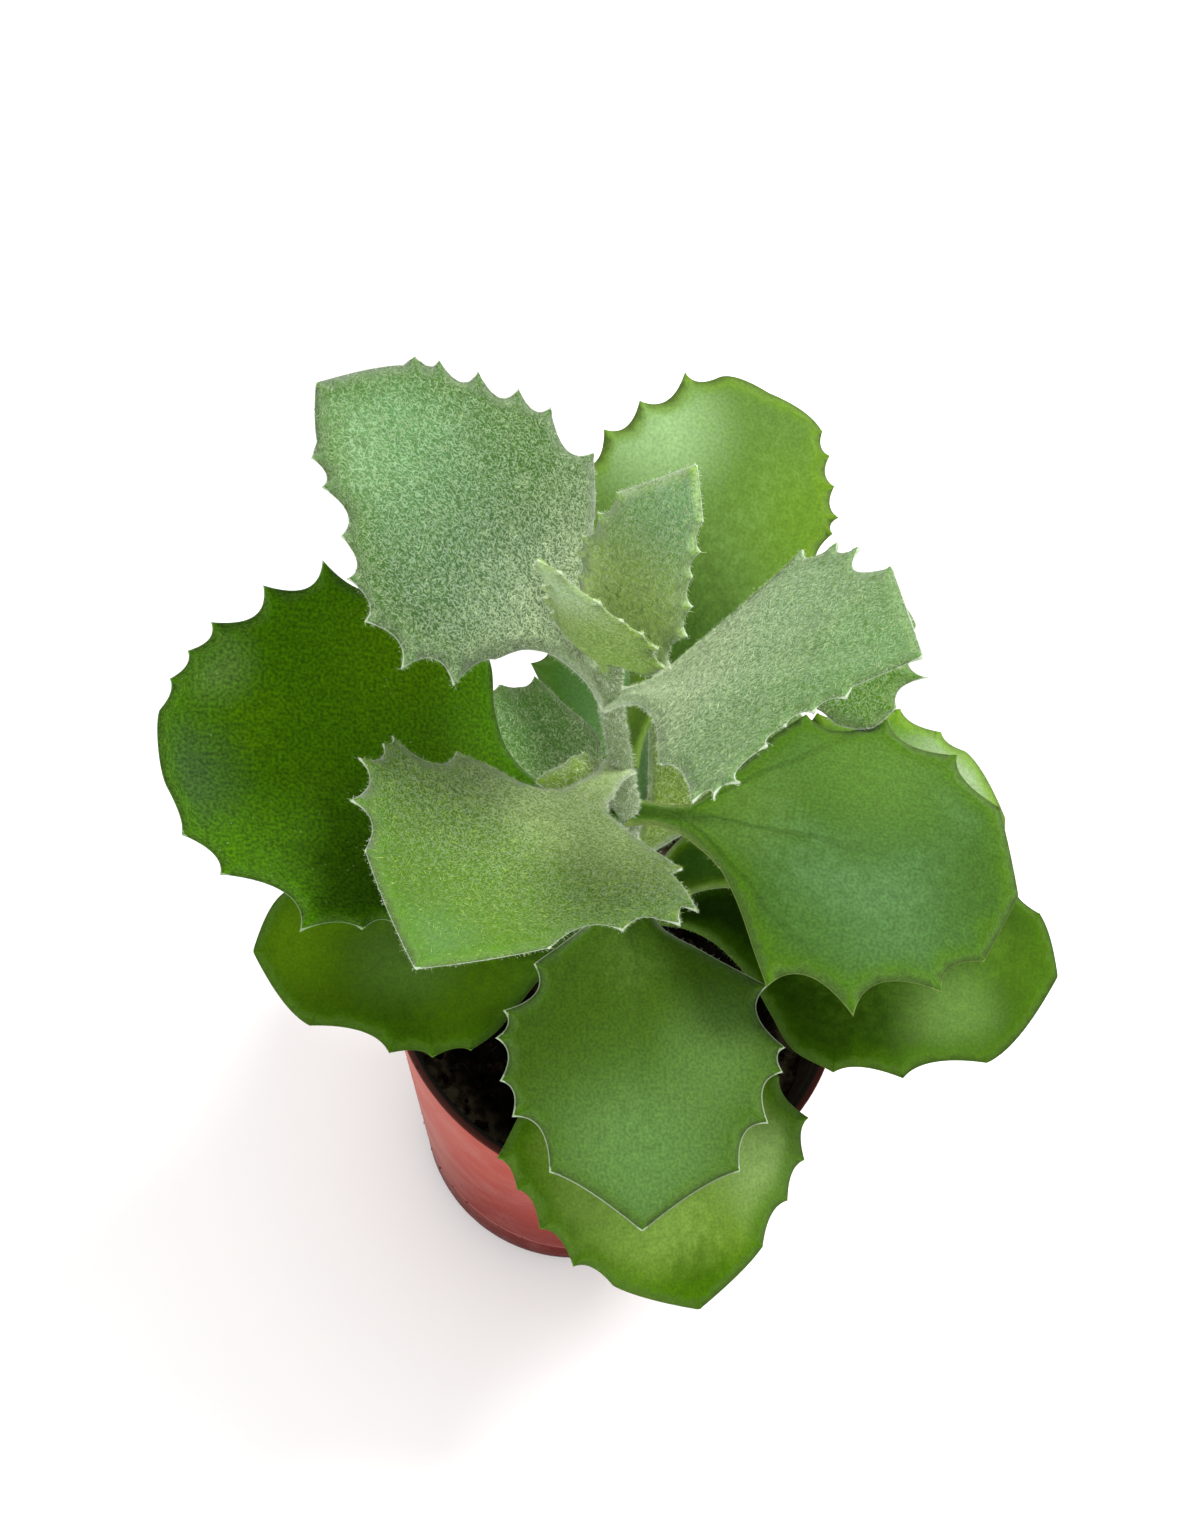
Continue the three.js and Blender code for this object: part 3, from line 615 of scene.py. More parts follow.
leafLooks = {
    "leaf_upper_left": {
        "body": "#3d6026", "bloom": "#4c723c", "band": "#4a7424", "line": "#dfe9d4",
        "hair": ("#587a3e", "#9cb482"), "under": "#7d9664", "felt": 0.8, "bandWidth": 4.5,
        "bloomShare": 0.5, "veins": 0.2,
        "patches": [(40, 0, 15, "#6c9c60", 0.8), (26, -12, 10, "#47761f", 0.7),
                    (24, 4, 12, "#527c4c", 0.6), (44, 6, 8, "#86ac72", 0.5)]},
    "leaf_upper_right": {
        "body": "#588634", "bloom": "#6f9e50", "band": "#588a30", "line": "#dfe9d4",
        "hair": ("#6e904a", "#b6ca98"), "under": "#7d9664", "felt": 0.85, "bandWidth": 2.6,
        "bloomShare": 0.5, "veins": 0.3,
        "patches": [(24, 11, 12, "#82ae70", 0.6), (44, 2, 12, "#689e52", 0.5),
                    (12, 0, 10, "#96b272", 0.7)]},
    "leaf_tall_back": {
        "body": "#567630", "bloom": "#668648", "band": "#5e8214", "line": "#86a650",
        "under": "#7d9a50", "felt": 0.2, "bandWidth": 2.6, "bloomShare": 0.4, "lineStrength": 0.3,
        "edgeShade": 0.1,
        "patches": [(36, -11, 12, "#5c801e", 0.8), (38, 11, 10, "#94b67c", 0.75),
                    (14, 0, 13, "#335016", 0.9)]},
    "leaf_front_left": {
        "body": "#4a7010", "bloom": "#547c1a", "band": "#4e7c0a", "line": "#dfe9d4",
        "hair": ("#62882a", "#a0ba5e"), "under": "#7d9a5a", "felt": 0.8, "bandWidth": 3.4,
        "bloomShare": 0.45, "tipFelt": 0.12, "petiole": "#b8d27c", "gaps": 0.45,
        "patches": [(32, 6, 15, "#557e0a", 0.8), (45, -1, 8, "#5a8642", 0.7),
                    (12, 4, 13, "#98bc56", 0.8)]},
    "leaf_wide_left": {
        "body": "#3c6600", "bloom": "#456e00", "band": "#3a6600", "line": "#a9bf9a",
        "under": "#557530", "felt": 0.0, "bandWidth": 3.0, "bloomShare": 0.35, "specks": 0.3,
        "edgeShade": 0.1, "grain": 0.36,
        "patches": [(56, 1, 8, "#3a5628", 0.8), (30, -17, 10, "#4e7600", 0.6),
                    (38, 15, 12, "#2a4a00", 0.75), (52, -12, 5, "#688a44", 0.5),
                    (24, 0, 10, "#456e04", 0.5)]},
    "leaf_wide_right": {
        "body": "#3f6222", "bloom": "#4d703c", "band": "#446a09", "line": "#93a456",
        "under": "#6f8d50", "felt": 0.0, "bandWidth": 3.6, "bloomShare": 0.5, "veins": 0.45,
        "lineWidth": 0.12, "lineStrength": 0.5, "edgeShade": 0.1, "grain": 0.16,
        "patches": [(28, 13, 13, "#54782c", 0.7), (34, -8, 12, "#507542", 0.5),
                    (12, 3, 10, "#5a7a2e", 0.6), (43, -2, 9, "#385a16", 0.7)]},
    "leaf_mid_front": {
        "body": "#3a5810", "bloom": "#456020", "band": "#3e620a", "line": "#c4d2b6",
        "under": "#6f8d50", "felt": 0.1, "bandWidth": 2.0, "bloomShare": 0.5, "grain": 0.16,
        "edgeShade": 0.25, "lineWidth": 0.16, "lineStrength": 0.7,
        "patches": [(38, 0, 14, "#587c3e", 0.8), (26, 10, 9, "#5a7c3c", 0.6),
                    (24, -6, 11, "#365408", 0.6)]},
    "leaf_mid_back": {
        "body": "#527f38", "bloom": "#64904e", "band": "#4a7418", "line": "#9db48a",
        "under": "#6f8d50", "felt": 0.1, "bandWidth": 3.0, "bloomShare": 0.5,
        "patches": [(16, 0, 15, "#7ca668", 0.8)]},
    "leaf_inner_right": {
        "body": "#4c7a1c", "bloom": "#5f8c3c", "band": "#4c8008", "line": "#dfe9d4",
        "hair": ("#628434", "#9cb464"), "under": "#86a066", "felt": 0.8, "bandWidth": 2.0,
        "bloomShare": 0.5, "petiole": "#98b440", "paler": 0.1,
        "patches": [(14, -2, 11, "#88a80c", 0.85)]},
    "leaf_inner_left": {
        "body": "#689a3e", "bloom": "#7aa85a", "band": "#689a2c", "line": "#dfe9d4",
        "hair": ("#84a85c", "#bad09a"), "under": "#86a066", "felt": 0.6, "bandWidth": 2.0,
        "bloomShare": 0.5, "patches": [(27, -2, 9, "#6c9a5e", 0.6)]},
    "leaf_low_left": {
        "body": "#3a5900", "bloom": "#466a04", "band": "#3c6200", "line": "#67853c",
        "under": "#557530", "felt": 0.0, "bandWidth": 3.0, "bloomShare": 0.35,
        "lineStrength": 0.3, "edgeShade": 0.1,
        "patches": [(44, 0, 9, "#567c04", 0.7), (30, 5, 8, "#4e6e2a", 0.7),
                    (33, 15, 7, "#2c4a00", 0.8), (12, 0, 10, "#1e3a00", 0.8)]},
    "leaf_low_right": {
        "body": "#284600", "bloom": "#486c18", "band": "#3e6400", "line": "#6f9040",
        "under": "#66863c", "felt": 0.0, "bandWidth": 4.0, "bloomShare": 0.5,
        "lineStrength": 0.2, "edgeShade": 0.1,
        "patches": [(53, 0, 9, "#3e6000", 0.9), (42, -9, 8, "#62843a", 0.7),
                    (12, 0, 12, "#1c3602", 0.8)]},
    "leaf_side_right": {
        "body": "#5e882c", "bloom": "#8cac70", "band": "#6e980c", "line": "#a8bc80",
        "under": "#7d9a56", "felt": 0.15, "bandWidth": 2.2, "bloomShare": 0.7,
        "lineStrength": 0.5, "edgeShade": 0.1,
        "patches": [(10, 0, 11, "#244a06", 0.8), (44, 6, 9, "#a2ba8c", 0.85)]},
    "leaf_low_front": {
        "body": "#587a1a", "bloom": "#72903e", "band": "#3e6600", "line": "#6f9040",
        "under": "#66863c", "felt": 0.0, "bandWidth": 4.4, "bloomShare": 0.6,
        "lineStrength": 0.2, "edgeShade": 0.1,
        "patches": [(34, -8, 12, "#72923e", 0.8), (33, 11, 9, "#86a45e", 0.75),
                    (47, 0, 7, "#385a00", 0.9), (12, 0, 12, "#284800", 0.8)]},
    "leaf_low_back": {
        "body": "#3b5f0c", "bloom": "#4c7424", "band": "#3c6404", "line": "#67853c",
        "under": "#557530", "felt": 0.0, "bandWidth": 3.0, "bloomShare": 0.4,
        "lineStrength": 0.4},
    "leaf_young_back": {
        "body": "#6c963c", "bloom": "#7ba652", "band": "#86b62c", "line": "#eef4e6",
        "hair": ("#6c8e44", "#aac086"), "under": "#93aa7c", "felt": 0.95, "bandWidth": 1.2,
        "bloomShare": 0.5, "lineWidth": 0.07, "lineStrength": 0.4, "petiole": "#e4f8a0",
        "gaps": 0.2, "paler": 0.15,
        "patches": [(22, 0, 8, "#68985c", 0.8), (5, 0, 11, "#d0f074", 1.0)]},
    "leaf_young_front": {
        "body": "#86a850", "bloom": "#9cbc66", "band": "#88b018", "line": "#eef4e6",
        "hair": ("#80a03c", "#bccf80"), "under": "#94b454", "felt": 0.7, "bandWidth": 1.4,
        "lineWidth": 0.07, "lineStrength": 0.4, "petiole": "#a8c860", "paler": 0.15,
        "bloomShare": 0.5, "patches": [(6, 4, 8, "#86b414", 0.9), (18, 0, 7, "#a4bc84", 0.6)],
        "underPatches": [(8, 5, 11, "#8cb81a", 1.0), (22, 0, 9, "#b2cca4", 0.7)]},
    "leaf_axil": {
        "body": "#86a83c", "bloom": "#9cba58", "band": "#8aae3a", "line": "#e4ecd8",
        "lineWidth": 0.08,
        "hair": ("#a0ba74", "#cfdcae"), "under": "#93aa7c", "felt": 0.5, "bandWidth": 0.8,
        "bloomShare": 0.4},
}


def leafPoint(leaf, along, out, lift):
    # a point off the leaf's curved middle surface, lift millimetres along its normal
    heading = math.radians(leaf["heading"])
    first, last = (math.radians(angle) for angle in leaf["rise"])
    turn = (last - first) / leaf["length"]
    slope = first + turn * along
    reach = (np.sin(slope) - math.sin(first)) / turn + leaf.get("young", 0.0)
    climb = (math.cos(first) - np.cos(slope)) / turn
    forward = np.array([math.cos(heading), math.sin(heading), 0])
    flatLeft = np.array([-math.sin(heading), math.cos(heading), 0])
    flatUp = -np.sin(slope)[:, None] * forward
    flatUp[:, 2] = np.cos(slope)
    roll = math.radians(leaf["roll"])
    left = flatLeft * math.cos(roll) + flatUp * math.sin(roll)
    up = flatUp * math.cos(roll) - flatLeft * math.sin(roll)
    bend = leaf["cup"] * out
    sideways = np.sin(bend) / leaf["cup"] - np.sin(bend) * lift
    raised = (1 - np.cos(bend)) / leaf["cup"] + np.cos(bend) * lift
    centre = np.array(stemNodes[leaf["node"]]) + reach[:, None] * forward
    centre[:, 2] += climb
    return centre + left * sideways[:, None] + up * raised[:, None]


def hollowTo(last, tooth, bite):
    # the curved edge from one tooth to the next
    step = tooth - last
    inward = np.array([step[1], -step[0]])
    middle = last + leafShape["toothLean"] * step + 2 * bite * inward
    t = np.linspace(0, 1, 16)[1:, None]
    return (1 - t) ** 2 * last + 2 * t * (1 - t) * middle + t**2 * tooth


def leafMargin(leaf, teeth, start, halfWidth, tipOut):
    # one margin from the stem to the tip, which lies tipOut from the leaf's middle line
    step = leafShape["lineStep"]
    line = []
    # the petiole is a little wider at its foot
    run = [np.array([start, halfWidth * 1.3]), np.array([start + 3.0, halfWidth])]
    for tooth in teeth:
        point = np.array(tooth[:2], float)
        bite = tooth[2] if len(tooth) > 2 else leaf["bite"]
        if bite == 0:
            run.append(point)
            continue
        line.append(smoothLine(run, step) if len(run) > 1 else run[0][None, :])
        line.append(hollowTo(run[-1], point, bite))
        run = [point]
    if len(run) > 1:
        line.append(smoothLine(run, step))
    tip = np.array([leaf["length"], leafShape["tipHalfWidth"] + tipOut])
    line.append(hollowTo(run[-1], tip, -leaf["apex"]))
    return np.concatenate(line)


def evenLoop(points, spacing):
    # the closed line again in even steps, with its sharp corners kept
    steps = np.linalg.norm(np.roll(points, -1, axis=0) - points, axis=1)
    line = points[steps > 1e-6]
    before = unit(line - np.roll(line, 1, axis=0))
    after = np.roll(before, -1, axis=0)
    corners = np.where((before * after).sum(1) < leafShape["cornerTurn"])[0]
    line = np.roll(line, -corners[0], axis=0)
    line = np.vstack([line, line[:1]])
    corners = [*(corners - corners[0]), len(line) - 1]
    runs = []
    for first, last in zip(corners, corners[1:]):
        run = line[first:last + 1]
        reach = reachAlong(run)
        count = max(1, round(reach[-1] / spacing))
        fine = np.linspace(0, reach[-1], count, endpoint=False)
        runs.append(np.stack([np.interp(fine, reach, run[:, k]) for k in range(2)], axis=1))
    return np.vstack(runs)


def rimDistance(points, loop):
    # how far each point lies from the nearest edge of the outline
    ends = np.roll(loop, -1, axis=0)
    way = ends - loop
    offset = points[:, None, :] - loop[None, :, :]
    share = np.clip((offset * way).sum(2) / (way * way).sum(1), 0, 1)
    away = offset - share[:, :, None] * way
    return np.sqrt((away * away).sum(2)).min(1)


def insideLoop(points, loop):
    ends = np.roll(loop, -1, axis=0)
    x, y = points[:, 0, None], points[:, 1, None]
    crosses = (loop[:, 1] > y) != (ends[:, 1] > y)
    rise = np.where(ends[:, 1] == loop[:, 1], 1e-9, ends[:, 1] - loop[:, 1])
    meets = loop[:, 0] + (y - loop[:, 1]) / rise * (ends[:, 0] - loop[:, 0])
    return ((crosses & (x < meets)).sum(1) % 2) == 1


def fillLeaf(loop, bladeStart):
    # triangles inside the outline: lines of points along the margin, an even net inside
    shape = leafShape
    ahead = np.roll(loop, -1, axis=0) - np.roll(loop, 1, axis=0)
    inward = unit(np.stack([ahead[:, 1], -ahead[:, 0]], axis=1))
    extra = []
    for depth in shape["ringsIn"]:
        ring = loop + inward * depth
        ring = ring[insideLoop(ring, loop)]
        least = 0.5 if depth == shape["ringsIn"][0] else 0.93  # lets one point into each tooth tip
        extra.append(ring[rimDistance(ring, loop) > least * depth])
    low, high = loop.min(0), loop.max(0)
    for step, near, far in ((shape["petioleStep"], low[0], bladeStart),
                            (shape["insideStep"], bladeStart, high[0])):
        rows = np.arange(near, far, step * 0.866)  # the height of an even triangle
        columns = np.arange(low[1], high[1], step)
        net = np.array([(r, c + (0.5 * step if k % 2 else 0)) for k, r in enumerate(rows)
                        for c in columns])
        net = net[insideLoop(net, loop)]
        extra.append(net[rimDistance(net, loop) > shape["ringsIn"][-1] + 0.3 * step])
    points = np.vstack([loop, *extra])
    for attempt in range(3):
        flat, triangles = fillOutline(points, [], [list(range(len(loop)))], 1)
        onEdge = rimDistance(flat, loop) < 1e-5
        bare = onEdge[triangles].all(axis=1)  # the two faces would coincide there
        if not bare.any():
            break
        points = np.vstack([points, flat[triangles[bare]].mean(1)])
    turn = turnOf(flat, triangles)
    triangles[turn < 0] = triangles[turn < 0][:, ::-1]
    return flat, triangles[(np.abs(turn) > 1e-9) & ~bare]


def outlineStep(leaf):
    return leafShape["outlineStep"] * (leafShape["youngStep"] if "young" in leaf else 1.0)


def leafSkin(leaf, seed):
    # the upper and lower faces of a leaf, closed round the margin
    shape = leafShape
    length = leaf["length"]
    young = "young" in leaf
    thin = shape["youngThickness"] if young else 1.0
    slim = shape["youngPetiole"] if young else 1.0
    start = -shape["youngSink"] if young and leaf["node"] == "young" else shape["start"]
    halfWidth = shape["petioleHalfWidth"] * slim
    tipOut = leaf.get("tipOut", 0.0)
    left = leafMargin(leaf, leaf["left"], start, halfWidth, tipOut)
    right = leafMargin(leaf, leaf["right"], start, halfWidth, -tipOut) * [1, -1]
    loop = evenLoop(np.vstack([left, right[::-1]]), outlineStep(leaf))
    flat, triangles = fillLeaf(loop[::-1], shape["bladeFrom"] * length)
    rim = rimDistance(flat, loop)
    along, out = flat[:, 0], flat[:, 1]

    # share runs from 0 on the middle line to 1 at the margin
    share = np.abs(out) / (np.abs(out) + rim + 1e-6)
    ageing = blendTo(start, start + 0.3 * length, along)
    middle = shape["petioleThickness"] * slim * (1 - ageing) + shape["midThickness"] * thin * ageing
    toTip = blendTo(0.75 * length, length, along)
    toEdge = np.maximum(share**2, toTip)
    half = 0.5 * (middle * (1 - toEdge) + shape["edgeThickness"] * toEdge)
    rounding = np.clip(rim / (0.5 * shape["edgeThickness"]), 0, 1)
    half = half * np.sqrt(1 - (1 - rounding) ** 2)

    shift = shape["leafShift"] * seed
    spot = np.stack([along, out, np.full(len(along), shift)], axis=1)
    inside = blendTo(0.4, 5.0, rim)
    inBlade = blendTo(0.15 * length, 0.4 * length, along)
    waves = inBlade * inside * sum(height * softNoise(spot, width, noise)
                                   for height, width, noise in shape["waves"])
    edgeRoll = shape["edgeRoll"] * inBlade * (1 - blendTo(0, shape["edgeRollWidth"], rim))
    channel = shape["channelDepth"] * slim * (1 - inBlade) * (1 - blendTo(0.1, 0.85, share))
    groove = shape["grooveDepth"] * inBlade * np.exp(-((out / shape["grooveWidth"]) ** 2))
    groove = groove * (1 - toTip)
    keel = shape["keelDepth"] * (1 - blendTo(0.3, 0.9, along / length))
    keel = keel * np.exp(-((out / shape["keelWidth"]) ** 2))

    edge = rim < 1e-5
    topLift = half + waves + edgeRoll - channel - groove
    underLift = -half + waves + edgeRoll - keel * inBlade
    topLift[edge] = edgeRoll[edge]
    top = leafPoint(leaf, along, out, topLift)
    under = leafPoint(leaf, along, out, underLift)
    lower = np.where(edge, np.arange(len(flat)), 0)
    lower[~edge] = len(flat) + np.arange((~edge).sum())
    points = np.vstack([top, under[~edge]])
    faces = np.vstack([triangles, lower[triangles][:, ::-1]])
    side = np.concatenate([np.where(edge, 0.5, 0.0), np.ones((~edge).sum())])
    place = np.vstack([spot, spot[~edge]])
    place[:, 2] = shift + shape["sideShift"] * side
    values = {"rim": np.concatenate([rim, rim[~edge]]), "place": place, "side": side}
    return points, faces, values, triangles


def greyOf(tree, value):
    # the same value in all three channels, to darken or lighten a colour
    return addNode(tree, "ShaderNodeCombineColor", {0: value, 1: value, 2: value}).outputs[0]


def tintAndLightPatches(tree, colour, parts, waver, patches):
    # each patch is a tint of the leaf's own colour or painted light: painted sheen, painted shade,
    # or light shining through
    flat = addNode(tree, "ShaderNodeCombineXYZ", {0: parts[0], 1: parts[1]}).outputs[0]
    for along, out, radius, tint, strength in patches:
        away = vectorMaths(tree, "DISTANCE", flat, (along, out, 0), "Value")
        away = maths(tree, "MULTIPLY_ADD", waver, 0.5 * radius, away)
        near = ease(tree, away, 0.15 * radius, 1.25 * radius, strength, 0.0)
        colour = mixColour(tree, near, colour, hexColour(tint))
    return colour


# What all leaves share in their finish; a pair gives the shares of the length from which and to
# which something changes.
leafFinish = {
    "feltedFrom": 0.4,  # a leaf with more felt than this carries hairs
    "tone": 0.85,  # darkens every leaf alike, to suit the strength of the lamps
    "roughness": (0.55, 0.9),  # bare and felted
    "specular": 0.04,
    "veinFork": 0.14,
    "veinReach": 0.7,
    "bandStrength": 0.8,
    "shade": 0.45,  # the dark tint as a share of the flesh colour
    "petioleEnd": (0.12, 0.32),
    "paleEnd": (0.1, 0.55),
    "paleStrength": 0.75,
    "grainScale": 2.6,
    "streakSize": 0.2,
    "streakStrength": 0.34,
    "thinning": (0.35, 0.95),
    "speckScale": 1.3,
    "speckRadius": 0.11,
    "speckStrength": 0.4,
    "speckColour": "#b6c2a0",
    "relief": 0.05,
    "sheen": 0.2,
    "sheenRoughness": 0.5,
}


def leafMaterial(name, look, leaf):
    finish = leafFinish
    felt, length = look["felt"], leaf["length"]
    felted = felt > finish["feltedFrom"]
    line = hexColour(look["line"])
    bare, full = finish["roughness"]
    roughness = bare + (full - bare) * min(1, felt * 1.4)
    material, tree, shader = newMaterial(name, roughness, finish["specular"])
    rim, place, side = (addNode(tree, "ShaderNodeAttribute", attribute_name=kept).outputs[kind]
                        for kept, kind in (("rim", "Fac"), ("place", "Vector"), ("side", "Fac")))
    bands = fillGroup(tree, marginBands, {
        "Rim": rim, "Place": place, "Band": look["bandWidth"], "Line": look["lineWidth"]})
    veins = fillGroup(tree, veinFan, {
        "Place": place, "Fork": finish["veinFork"] * length,
        "Reach": finish["veinReach"] * length})["Veins"]
    parts = addNode(tree, "ShaderNodeSeparateXYZ", {0: place}).outputs

    # flesh with a cloudy pale bloom away from the margin, partly the leaf's own bloom and partly
    # painted sheen
    cloud = noiseAt(tree, place, 0.08, 2.0)
    fine = noiseAt(tree, place, 0.7, 4.0)
    waver = maths(tree, "SUBTRACT", fine, 0.5)
    share = look["bloomShare"]
    bloomAndSheenMask = ease(tree, maths(tree, "MULTIPLY_ADD", fine, 0.3, cloud), 0.75 - 0.45 * share,
                     1.05 - 0.35 * share)
    inner = ease(tree, rim, 1.0, 8.0)
    colour = mixColour(tree, times(tree, bloomAndSheenMask, inner), hexColour(look["body"]),
                       hexColour(look["bloom"]))
    colour = tintAndLightPatches(tree, colour, parts, waver, look["patches"])
    band = times(tree, bands["Band Mask"], finish["bandStrength"])
    colour = mixColour(tree, band, colour, hexColour(look["band"]))
    dark = tuple(finish["shade"] * part for part in hexColour(look["body"])[:3]) + (1.0,)
    veinColour = hexColour(look["hair"][1]) if felted else dark
    colour = mixColour(tree, times(tree, veins, look["veins"]), colour, veinColour)

    # the petiole: painted shade in a channel between two ridges with a painted highlight, pale all
    # over where it is felted
    near, far = (share * length for share in finish["petioleEnd"])
    petiole = ease(tree, parts[0], near, far, 1.0, 0.0)
    away = maths(tree, "ABSOLUTE", parts[1])
    channel = times(tree, ease(tree, away, 0.2, 1.4, 0.6 - 0.5 * felt, 0.0), petiole)
    ridge = times(tree, ease(tree, rim, 0.1, 0.8, 0.6, 0.0), petiole)
    colour = mixColour(tree, channel, colour, dark)
    if felted:
        near, far = (share * length for share in finish["paleEnd"])
        pale = ease(tree, parts[0], near, far, finish["paleStrength"] * felt, 0.0)
        colour = mixColour(tree, pale, colour, hexColour(look["petiole"]))
    colour = mixColour(tree, ridge, colour, line)
    lower = tintAndLightPatches(tree, hexColour(look["under"]), parts, waver, look["underPatches"])
    colour = mixColour(tree, side, colour, lower)

    # mottling, and a shadow inside the margin line
    grain = noiseAt(tree, place, finish["grainScale"], 3.0)
    rough = 0.04 + look["grain"]
    tone = times(tree, ease(tree, grain, 0.3, 0.7, 1 - rough, 1 + rough),
                 ease(tree, fine, 0.3, 0.7, 0.92, 1.08))
    colour = mixColour(tree, 1.0, colour, greyOf(tree, tone), "MULTIPLY")
    colour = mixColour(tree, times(tree, bands["Edge Shade Mask"], look["edgeShade"]), colour, dark)
    height = times(tree, grain, 0.5)
    if felted:
        streaks = fillGroup(tree, feltStreaks, {
            "Place": place, "Size": finish["streakSize"], "Cover": 0.3 + 0.5 * felt})["Hairs"]
        near, far = (share * length for share in finish["thinning"])
        thinning = ease(tree, parts[0], near, far, 1.0, look["tipFelt"])
        # painted shade: between the hairs the flesh is darkened below its own colour
        gaps = times(tree, ease(tree, streaks, 0.0, 0.5, look["gaps"], 0.0),
                     maths(tree, "SUBTRACT", thinning, times(tree, petiole, 0.6)))
        colour = mixColour(tree, gaps, colour, dark)
        streaks = times(tree, streaks, thinning)
        amount = times(tree, streaks, finish["streakStrength"] * felt)
        colour = mixColour(tree, amount, colour, line)
        height = maths(tree, "ADD", height, streaks)
    if look["specks"]:
        dots = fillGroup(tree, specks, {
            "Place": place, "Scale": finish["speckScale"], "Share": look["specks"],
            "Radius": finish["speckRadius"]})["Specks"]
        colour = mixColour(tree, times(tree, dots, finish["speckStrength"]), colour,
                           hexColour(finish["speckColour"]))
    # the pale margin line: the fuzz along the edge, with painted rim light
    colour = mixColour(tree, times(tree, bands["Line Mask"], look["lineStrength"]), colour, line)
    colour = mixColour(tree, 1.0, colour, greyOf(tree, finish["tone"]), "MULTIPLY")
    height = times(tree, height, ease(tree, rim, 0.3, 1.2))  # the edge itself stays smooth
    finishShader(tree, shader, colour, height, finish["relief"])
    if felted:
        shader.inputs["Sheen Weight"].default_value = finish["sheen"] * felt
        shader.inputs["Sheen Roughness"].default_value = finish["sheenRoughness"]
    return material


def makeSpikes(roots, ways, lengths, widths):
    # closed three-sided hairs, a sharp tip on a small triangular foot
    ways = unit(ways)
    helper = np.where(np.abs(ways[:, 2:3]) > 0.8, [[1.0, 0, 0]], [[0, 0, 1.0]])
    side = unit(np.cross(ways, helper))
    other = np.cross(ways, side)
    corners = []
    for angle in (0, 2 * math.pi / 3, 4 * math.pi / 3):
        corners.append(roots + widths[:, None] * (math.cos(angle) * side + math.sin(angle) * other))
    tips = roots + ways * lengths[:, None]
    points = np.stack([*corners, tips], axis=1).reshape(-1, 3)
    pattern = np.array([[0, 1, 3], [1, 2, 3], [2, 0, 3], [2, 1, 0]])
    faces = (np.arange(len(roots))[:, None, None] * 4 + pattern).reshape(-1, 3)
    return points, faces


def scatterOn(points, triangles, density, cover=None):
    # random spots on the triangles, density to the square millimetre, with their normals; cover
    # thins them out where its value on the points is under 1
    a, b, c = (points[triangles[:, k]] for k in range(3))
    area = 0.5 * np.linalg.norm(np.cross(b - a, c - a), axis=1)
    if cover is not None:
        area = area * cover[triangles].mean(1)
    count = int(area.sum() * density)
    pick = dice.choice(len(triangles), count, p=area / area.sum())
    u, v = dice.random(count), dice.random(count)
    flip = u + v > 1
    u[flip], v[flip] = 1 - u[flip], 1 - v[flip]
    normals = pointNormals(points, triangles)
    mixed = [(1 - u - v)[:, None], u[:, None], v[:, None]]
    spots = sum(m * points[triangles[pick, k]] for k, m in enumerate(mixed))
    facing = unit(sum(m * normals[triangles[pick, k]] for k, m in enumerate(mixed)))
    return spots, facing


def liePast(facing, spots, seed, lean):
    # hair directions that lie nearly flat and turn together over small patches
    first = unit(np.cross(facing, [[0.3, 0.8, 0.5]]))
    second = np.cross(facing, first)
    angle = 5 * softNoise(spots, 1.6, seed) + dice.uniform(-1.1, 1.1, len(spots))
    flat = first * np.cos(angle)[:, None] + second * np.sin(angle)[:, None]
    return flat + facing * (lean * dice.uniform(0.5, 1.6, len(spots)))[:, None]


hairLook = {
    "topDensity": 11.0,
    "underDensity": 3.0,
    "length": (0.4, 0.85),
    "width": (0.024, 0.042),
    "lean": 0.2,
    "marginPerMm": 11.0,
    "petioleMore": 2.6,  # how much denser the fuzz is along the petiole
    "marginLength": (0.14, 0.42),
    "marginWidth": (0.01, 0.019),
    "marginScatter": 0.14,
    "marginSpread": 0.45,
    "marginColour": "#b9c8a8",
    "barePerMm": 4.0,  # a bare leaf has fuzz on its petiole alone
    "bareShare": 0.3,
    "paleFrom": (8.0, 22.0),  # the hairs are painted paler near the stem as painted light, fading out between these distances
    "paleColour": "#e0eec4",
}


def hairMaterial(name, low, high, paler=0.0):
    # hairs of a colour between the two given, painted paler by that share close to the stem as
    # painted light
    material, tree, shader = newMaterial(name, 0.8, 0.1)
    spot = surfaceSpot(tree)
    shift = noiseAt(tree, spot, 1400.0, 1.0)
    colour = mixColour(tree, ease(tree, shift, 0.3, 0.7), hexColour(low), hexColour(high))
    if paler:
        x, y = (mm * part for part in stemNodes["upper"][:2])
        near, far = (mm * part for part in hairLook["paleFrom"])
        share = ease(tree, awayFrom(tree, spot, x, y), near, far, paler, 0.0)
        colour = mixColour(tree, share, colour, hexColour(hairLook["paleColour"]))
    finishShader(tree, shader, colour)
    return material


def marginHairs(leaf, points, faces, values, perMm, share):
    # fuzz that stands out from the margin line, along that share of the leaf
    edge = np.where(values["side"] == 0.5)[0]
    spots = points[edge]
    normals = pointNormals(points, faces)[edge]
    along = values["place"][edge, 0]
    kept = (along > 2.0) & ((share == 1) | (along < share * leaf["length"]))
    spots, normals, along = spots[kept], normals[kept], along[kept]
    onPetiole = along < leafShape["bladeFrom"] * leaf["length"]
    weight = np.where(onPetiole, hairLook["petioleMore"], 1.0)
    count = max(1, int(weight.sum() * outlineStep(leaf) * perMm))
    pick = dice.choice(len(spots), count, p=weight / weight.sum())
    jitter = dice.normal(0, hairLook["marginScatter"], (count, 3))
    out = normals[pick] + dice.normal(0, hairLook["marginSpread"], (count, 3))
    roots = spots[pick] + jitter - normals[pick] * 0.12
    lengths = dice.uniform(*hairLook["marginLength"], count)
    return roots, out, lengths, dice.uniform(*hairLook["marginWidth"], count)


